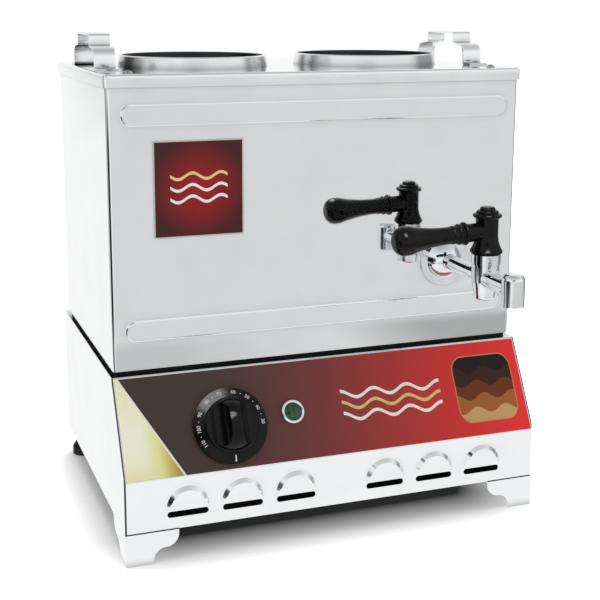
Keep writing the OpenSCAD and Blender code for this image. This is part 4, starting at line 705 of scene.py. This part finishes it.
def smooth_bends(mesh, sharp, bend):
    """Gives every corner a normal that faces share until a sharp edge parts them.

    Faces in one plane count together, by their whole area, so a flat sheet stays flat up to its bends."""
    work = bmesh.new()
    work.from_mesh(mesh)
    group, areas, corners = {}, [], {}
    for first in work.faces:
        if first in group:
            continue
        group[first] = len(areas)
        queue, area = [first], 0.0
        while queue:
            face = queue.pop()
            area += face.calc_area()
            for edge in face.edges:
                for other in edge.link_faces:
                    if other not in group and other.normal.dot(first.normal) > SAME_PLANE:
                        group[other] = len(areas)
                        queue.append(other)
        areas.append(area)
    limit = math.cos(math.radians(sharp))
    for vert in work.verts:
        left = list(vert.link_faces)
        while left:
            queue, fan = [left.pop()], []
            while queue:
                face = queue.pop()
                fan.append(face)
                for edge in face.edges:
                    for other in edge.link_faces if vert in edge.verts else ():
                        if other in left and face.normal.dot(other.normal) > limit:
                            left.remove(other)
                            queue.append(other)
            parts = {group[face]: face.normal for face in fan}
            total = sum((normal * areas[number] for number, normal in parts.items()), Vector()).normalized()
            for face in fan:
                corners[face.index, vert.index] = bend(total, vert.co) if bend else total
    mesh.shade_smooth()
    mesh.set_sharp_from_angle(angle=math.radians(sharp))
    mesh.normals_split_custom_set([corners[face.index, vert] for face in mesh.polygons for vert in face.vertices])
    work.free()


print("one plane within", round(math.degrees(math.acos(SAME_PLANE)), 2), "degrees")

# %% [markdown]
# Every material slot has a finish. A few visible nodes take another one than the rest of their slot.

# %% Finishes
FINISH = {
    "polished_steel": mirror_steel, "inner_steel": satin_steel, "fastener_steel": zinc,
    "badge_enamel": enamel, "black_rubber": rubber, "silicone": silicone, "printed_film": film,
    "black_plastic": phenolic, "gland_nylon": nylon, "pale_plastic": cream, "copper": copper,
    "brass": brass, "heater_alloy": heater_alloy, "wire_sleeve": sleeve, "chrome": chrome,
    "green_lens": lens_green,
}
OTHER_FINISH = {
    "pot_collar_left": spun_steel, "pot_collar_right": spun_steel,
    "carry_handle_left": bright_steel, "carry_handle_right": bright_steel,
    "bracket_foot_left": bright_steel, "bracket_foot_right": bright_steel,
}
SHOWN = (
    "tank_shell", "top_cover", "cover_skirt", "base_shell", "front_panel", "pot_collar_left", "pot_collar_right",
    "carry_handle_left", "carry_handle_right", "bracket_foot_left", "bracket_foot_right",
    "rear_foot_left", "rear_foot_right", "thermostat_knob", "lamp_bezel", "lamp_lens",
    "tap_rosette", "tap_shank", "tap_body", "tap_bonnet", "tap_spout", "tap_lever", "lever_cap",
    "cord_gland", "heating_element",
)
print("slots:", len(FINISH), "visible nodes:", len(SHOWN))

# %% [markdown]
# The copy takes the node's place, and hidden nodes keep their own mesh and only get a finish. The insides of
# the hollow pieces are marked, so that they stay dull and dark: partly the mill finish, partly painted shade.

# %% Dress the visible nodes
HOLLOW = ("tank_shell", "pot_collar_left", "pot_collar_right", "base_shell")
# The short arcs of pressed forms come with few facets, so their bends are smoothed up to a wider angle
PRESSED = ("front_panel", "tank_shell")
SHARP, SHARP_PRESSED = 28, 37
MERGE, SLIVER = 0.01 * MM, 0.005 * MM
FACING = 0.3


def add_piece(name, mesh, material, body):
    piece = bpy.data.objects.new(name, mesh)
    scene.collection.objects.link(piece)
    mesh.materials.clear()
    mesh.materials.append(material)
    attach(piece, body)
    return piece


def mark_inside(mesh, node):
    """Marks the faces that look towards the middle of a hollow piece."""
    middle = Vector(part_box(node)[0]).lerp(Vector(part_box(node)[1]), 0.5)
    inside = mesh.attributes.new("inside", "FLOAT", "FACE")
    for face in mesh.polygons:
        outwards = (face.center - middle).xy
        inwards = face.normal.xy.dot(outwards) < -FACING * outwards.length
        # The base is open to the front, where only the cut edges of its sides show
        cut = node == "base_shell" and face.normal.y < -FACING
        inside.data[face.index].value = 1.0 if inwards or cut else 0.0


def dress(node):
    """A merged and smoothed copy of a node, which takes its place."""
    mesh = frame["nodes"][node].data.copy()
    mesh.name = node + "_dressed"
    work = bmesh.new()
    work.from_mesh(mesh)
    bmesh.ops.remove_doubles(work, verts=work.verts, dist=MERGE)
    bmesh.ops.dissolve_degenerate(work, edges=work.edges, dist=SLIVER)
    work.to_mesh(mesh)
    work.free()
    smooth_bends(mesh, SHARP_PRESSED if node in PRESSED else SHARP, BENDS.get(node))
    if node in HOLLOW:
        mark_inside(mesh, node)
    material = OTHER_FINISH.get(node, FINISH[SLOT_OF[node]])
    piece = add_piece(node + "_dressed", mesh, material, BODY_OF[node])
    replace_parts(piece, node)
    return piece


dressed = {node: dress(node) for node in SHOWN}
for node, cad in frame["nodes"].items():
    if node not in SHOWN:
        cad.data.materials.clear()
        cad.data.materials.append(FINISH[SLOT_OF[node]])
print("dressed:", len(SHOWN), "finished in place:", len(frame["nodes"]) - len(SHOWN))

# %% [markdown]
# A black moulding shows its form by its highlights. One softbox high in front of the urn shines on the dial and
# the lever alone, so that they get a soft sheen and the polished sheet doesn't mirror the lamp.

# %% Sheen on the black mouldings
SHEEN_PLACE, SHEEN_SIZE, SHEEN_WATTS = (-0.02, -0.71, 1.12), 0.56, 11
black_mouldings = bpy.data.collections.new("black_mouldings")
for node in ("thermostat_knob", "tap_lever", "lever_cap"):
    black_mouldings.objects.link(dressed[node])
sheen = softbox("sheen_softbox", SHEEN_PLACE, dial_middle, SHEEN_SIZE, SHEEN_SIZE, SHEEN_WATTS)
sheen.data.shape = "ELLIPSE"
sheen.light_linking.receiver_collection = black_mouldings

# %% [markdown]
# ## Figures and dots on the dial
# The dial's bevelled skirt carries white figures from 30 to 110 with dots between them, and a tick at its
# foot. Turning the dial clockwise brings higher figures to the foot, so they rise anticlockwise. A figure is
# made as text, turned into a mesh at the origin, and then laid on the bevel.

# %% Figures
SKIRT_R, DISC_R = 30 * MM, 22 * MM
SKIRT_Z, DISC_Z = 4.2 * MM, 6.2 * MM
BEVEL = math.atan2(DISC_Z - SKIRT_Z, SKIRT_R - DISC_R)
PRINT_R = 26.2 * MM
FIGURE_HEIGHT, FIGURE_LIFT, FIGURE_DEPTH = 4.2 * MM, 0.08 * MM, 0.05 * MM
FIGURES = range(30, 111, 10)
FIGURE_STEP = 26
TICK_SIZE = (1.0 * MM, 5.0 * MM, 0.12 * MM)
TICK_ANGLE = math.radians(-90)


def bevel_height(radius):
    return SKIRT_Z + (SKIRT_R - radius) * math.tan(BEVEL)


def on_bevel(angle):
    """A frame on the dial's bevel: local Y points outwards and local Z off the surface."""
    spin = Matrix.Rotation(angle - math.pi / 2, 4, "Z")
    place = Matrix.Translation((0, PRINT_R, bevel_height(PRINT_R) + FIGURE_LIFT))
    return DIAL @ spin @ place @ Matrix.Rotation(-BEVEL, 4, "X")


def evaluated_mesh(holder):
    """The mesh that an object comes to. The object is removed."""
    scene.collection.objects.link(holder)
    bpy.context.view_layer.update()
    mesh = bpy.data.meshes.new_from_object(holder.evaluated_get(bpy.context.evaluated_depsgraph_get()))
    bpy.data.objects.remove(holder)
    return mesh


def text_mesh(words):
    curve = bpy.data.curves.new("figure", "FONT")
    curve.body = words
    curve.size = FIGURE_HEIGHT
    curve.align_x = "CENTER"
    curve.align_y = "CENTER"
    curve.extrude = FIGURE_DEPTH
    curve.resolution_u = 4
    mesh = evaluated_mesh(bpy.data.objects.new("figure", curve))
    bpy.data.curves.remove(curve)
    return mesh


figures = bmesh.new()
for i, figure in enumerate(FIGURES):
    mesh = text_mesh(str(figure))
    mesh.transform(on_bevel(math.radians(FIGURE_STEP * i)))
    figures.from_mesh(mesh)
    bpy.data.meshes.remove(mesh)
tick = bmesh.ops.create_cube(figures, size=1.0)["verts"]
bmesh.ops.transform(figures, matrix=on_bevel(TICK_ANGLE) @ Matrix.Diagonal((*TICK_SIZE, 1)), verts=tick)
mesh = bpy.data.meshes.new("dial_figures")
figures.to_mesh(mesh)
figures.free()
add_piece("dial_figures", mesh, ink, "knob")
print("figures:", len(FIGURES), "faces:", len(mesh.polygons))

# %% [markdown]
# The dots between the figures follow an arc, so a node tree makes them: an arc, points along it, a flat ball
# on every point, and at the end real geometry with its material.

# %% Dots
DOT_COUNT = len(FIGURES) - 1
DOT_R, DOT_FLATNESS = 0.45 * MM, 0.25


def node_group(name, inputs):
    """A geometry node tree with named inputs. Returns the tree, its input node and its output node."""
    group = bpy.data.node_groups.new(name, "GeometryNodeTree")
    for label, kind in inputs:
        group.interface.new_socket(name=label, in_out="INPUT", socket_type=kind)
    group.interface.new_socket(name="Geometry", in_out="OUTPUT", socket_type="NodeSocketGeometry")
    return group, group.nodes.new("NodeGroupInput"), group.nodes.new("NodeGroupOutput")


def grown(name, mesh, group, values):
    """The plain mesh that a node tree makes from a mesh and its named values."""
    holder = bpy.data.objects.new(name, mesh)
    step = holder.modifiers.new(name, "NODES")
    step.node_group = group
    for item in group.interface.items_tree:
        if item.in_out == "INPUT" and item.name in values:
            step[item.identifier] = values[item.name]
    result = evaluated_mesh(holder)
    result.name = name
    return result


def set_on_points(tree, points, instance, material, end, rotation=(0, 0, 0)):
    """Puts an instance on every point, and sends real geometry with its material to the tree's end."""
    placed = add(tree, "GeometryNodeInstanceOnPoints", {
        "Points": points.outputs[0], "Instance": instance.outputs[0], "Rotation": rotation})
    real = add(tree, "GeometryNodeRealizeInstances", {"Geometry": placed.outputs[0]})
    finished = add(tree, "GeometryNodeSetMaterial", {"Geometry": real.outputs[0], "Material": material})
    tree.links.new(finished.outputs[0], end.inputs[0])


dots, start, end = node_group("dial_dots", [
    ("Geometry", "NodeSocketGeometry"), ("Radius", "NodeSocketFloat"), ("First", "NodeSocketFloat"),
    ("Sweep", "NodeSocketFloat"), ("Count", "NodeSocketInt"), ("Size", "NodeSocketFloat"),
])
arc = add(dots, "GeometryNodeCurveArc", {
    "Radius": start.outputs["Radius"], "Start Angle": start.outputs["First"],
    "Sweep Angle": start.outputs["Sweep"], "Resolution": 64})
points = add(dots, "GeometryNodeCurveToPoints", {"Curve": arc.outputs[0], "Count": start.outputs["Count"]})
ball = add(dots, "GeometryNodeMeshIcoSphere", {"Radius": start.outputs["Size"], "Subdivisions": 2})
flattened = add(dots, "GeometryNodeTransform", {"Geometry": ball.outputs[0], "Scale": (1, 1, DOT_FLATNESS)})
set_on_points(dots, points, flattened, ink, end)
mesh = grown("dial_dots", bpy.data.meshes.new("dial_dots_seed"), dots, {
    "Radius": PRINT_R, "First": math.radians(FIGURE_STEP / 2),
    "Sweep": math.radians(FIGURE_STEP * (DOT_COUNT - 1)), "Count": DOT_COUNT, "Size": DOT_R})
mesh.transform(DIAL @ Matrix.Translation((0, 0, bevel_height(PRINT_R))))
add_piece("dial_dots", mesh, ink, "knob")
print("dots:", DOT_COUNT, "faces:", len(mesh.polygons))

# %% [markdown]
# ## Screws
# The construction model has plain dome heads. Real ones have a cross recess, and every screw stops at another
# angle. The places and sizes are read from the construction screws: a head is widest where it sits.

# %% Screw places
# Corners further out than the first share of the head's radius are on its rim, and a shank is wider than the second
RIM_SHARE, SHANK_SHARE = 0.995, 0.25


def islands(work):
    """The corners of each separate solid in a mesh, in the mesh's own order."""
    seen, found = set(), []
    for first in work.verts:
        if first in seen:
            continue
        seen.add(first)
        queue, island = [first], []
        while queue:
            vert = queue.pop()
            island.append(vert.co.copy())
            for edge in vert.link_edges:
                other = edge.other_vert(vert)
                if other not in seen:
                    seen.add(other)
                    queue.append(other)
        found.append(island)
    return found


def screw_places(node):
    """Seat, direction, head radius, head height, shank radius and length of each screw in a node."""
    work = bmesh.new()
    work.from_mesh(frame["nodes"][node].data)
    bmesh.ops.remove_doubles(work, verts=work.verts, dist=MERGE)
    found = []
    for island in islands(work):
        low = Vector([min(c[i] for c in island) for i in range(3)])
        high = Vector([max(c[i] for c in island) for i in range(3)])
        axis = (low + high) / 2
        radii = [(c - axis).xy.length for c in island]
        head_r = max(radii)
        seat_z = next(c.z for c, r in zip(island, radii) if r > RIM_SHARE * head_r)
        shank_r = min(r for r in radii if r > SHANK_SHARE * head_r)
        above, below = high.z - seat_z, seat_z - low.z
        seat = Vector((axis.x, axis.y, seat_z))
        if seat_z > axis.z:
            found.append((seat, 1, head_r, above, shank_r, below))
        else:
            found.append((seat, -1, head_r, below, shank_r, above))
    work.free()
    return found


SCREWS = {node: screw_places(node) for node in ("handle_screws", "cover_screws", "floor_screws")}
print("screws:", {node: len(places) for node, places in SCREWS.items()})

# %% [markdown]
# A node tree cuts one head from a ball, joins it to its shank and puts it on every screw's place, with a random
# turn from a fixed seed.

# %% Screw heads
# A block as large as this cuts away the ball below the seat
BLOCK = 0.1
# The recess is this much of the head's radius long, and its arms are this much of their length wide
RECESS_SHARE, ARM_SHARE = 1.1, 0.26


def raised(tree, geometry, height):
    """Moves geometry up by the height that a socket gives."""
    way = add(tree, "ShaderNodeCombineXYZ", {2: height})
    return add(tree, "GeometryNodeTransform", {"Geometry": geometry.outputs[0], "Translation": way.outputs[0]})


screws, start, end = node_group("cross_recess_screws", [
    ("Geometry", "NodeSocketGeometry"), ("Ball", "NodeSocketFloat"), ("Head Height", "NodeSocketFloat"),
    ("Recess", "NodeSocketFloat"), ("Shank", "NodeSocketFloat"), ("Length", "NodeSocketFloat"),
    ("Turned", "NodeSocketFloat"), ("Seed", "NodeSocketInt"),
])
ball_r, head_top, recess = start.outputs["Ball"], start.outputs["Head Height"], start.outputs["Recess"]
length = start.outputs["Length"]
ball = add(screws, "GeometryNodeMeshUVSphere", {"Segments": 40, "Rings": 60, "Radius": ball_r})
ball = raised(screws, ball, calc(screws, "SUBTRACT", head_top, ball_r))
block = add(screws, "GeometryNodeMeshCube", {"Size": (BLOCK, BLOCK, BLOCK)})
block = add(screws, "GeometryNodeTransform", {"Geometry": block.outputs[0], "Translation": (0, 0, -BLOCK / 2)})
arm = add(screws, "ShaderNodeCombineXYZ", {0: recess, 1: calc(screws, "MULTIPLY", recess, ARM_SHARE), 2: head_top})
bar = raised(screws, add(screws, "GeometryNodeMeshCube", {"Size": arm.outputs[0]}), head_top)
crossbar = add(screws, "GeometryNodeTransform", {"Geometry": bar.outputs[0], "Rotation": (0, 0, math.pi / 2)})
cut = add(screws, "GeometryNodeMeshBoolean", {"Mesh 1": ball.outputs[0]}, operation="DIFFERENCE")
for cutter in (block, bar, crossbar):
    screws.links.new(cutter.outputs[0], cut.inputs["Mesh 2"])
shank = add(screws, "GeometryNodeMeshCylinder", {"Vertices": 24, "Radius": start.outputs["Shank"], "Depth": length})
shank = raised(screws, shank, calc(screws, "MULTIPLY", length, -0.5))
whole = add(screws, "GeometryNodeJoinGeometry")
for part in (cut, shank):
    screws.links.new(part.outputs[0], whole.inputs[0])
turn = add(screws, "FunctionNodeRandomValue", {2: 0.0, 3: math.pi / 2, "Seed": start.outputs["Seed"]},
           data_type="FLOAT")
spin = add(screws, "ShaderNodeCombineXYZ", {0: start.outputs["Turned"], 2: turn.outputs[1]})
points = add(screws, "GeometryNodeMeshToPoints", {"Mesh": start.outputs["Geometry"], "Radius": 0.001})
set_on_points(screws, points, whole, zinc, end, spin.outputs[0])
print("screw nodes:", len(screws.nodes))

# %% [markdown]
# The tree grows the screws of each node in turn. The ball's radius follows from the head's radius and height.

# %% Grow the screws
for seed, (node, places) in enumerate(SCREWS.items()):
    seat, way, head_r, head_h, shank_r, length = places[0]
    seeds = bpy.data.meshes.new(node + "_places")
    seeds.from_pydata([place[0] for place in places], [], [])
    mesh = grown(node + "_crossed", seeds, screws, {
        "Ball": (head_r ** 2 + head_h ** 2) / (2 * head_h), "Head Height": head_h,
        "Recess": head_r * RECESS_SHARE, "Shank": shank_r, "Length": length,
        "Turned": 0.0 if way > 0 else math.pi, "Seed": seed})
    mesh.shade_smooth()
    mesh.set_sharp_from_angle(angle=math.radians(SHARP))
    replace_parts(add_piece(node + "_crossed", mesh, zinc, BODY_OF[node]), node)
    print(node, len(places), "head", round(head_r / MM, 2), round(head_h / MM, 2), "faces", len(mesh.polygons))
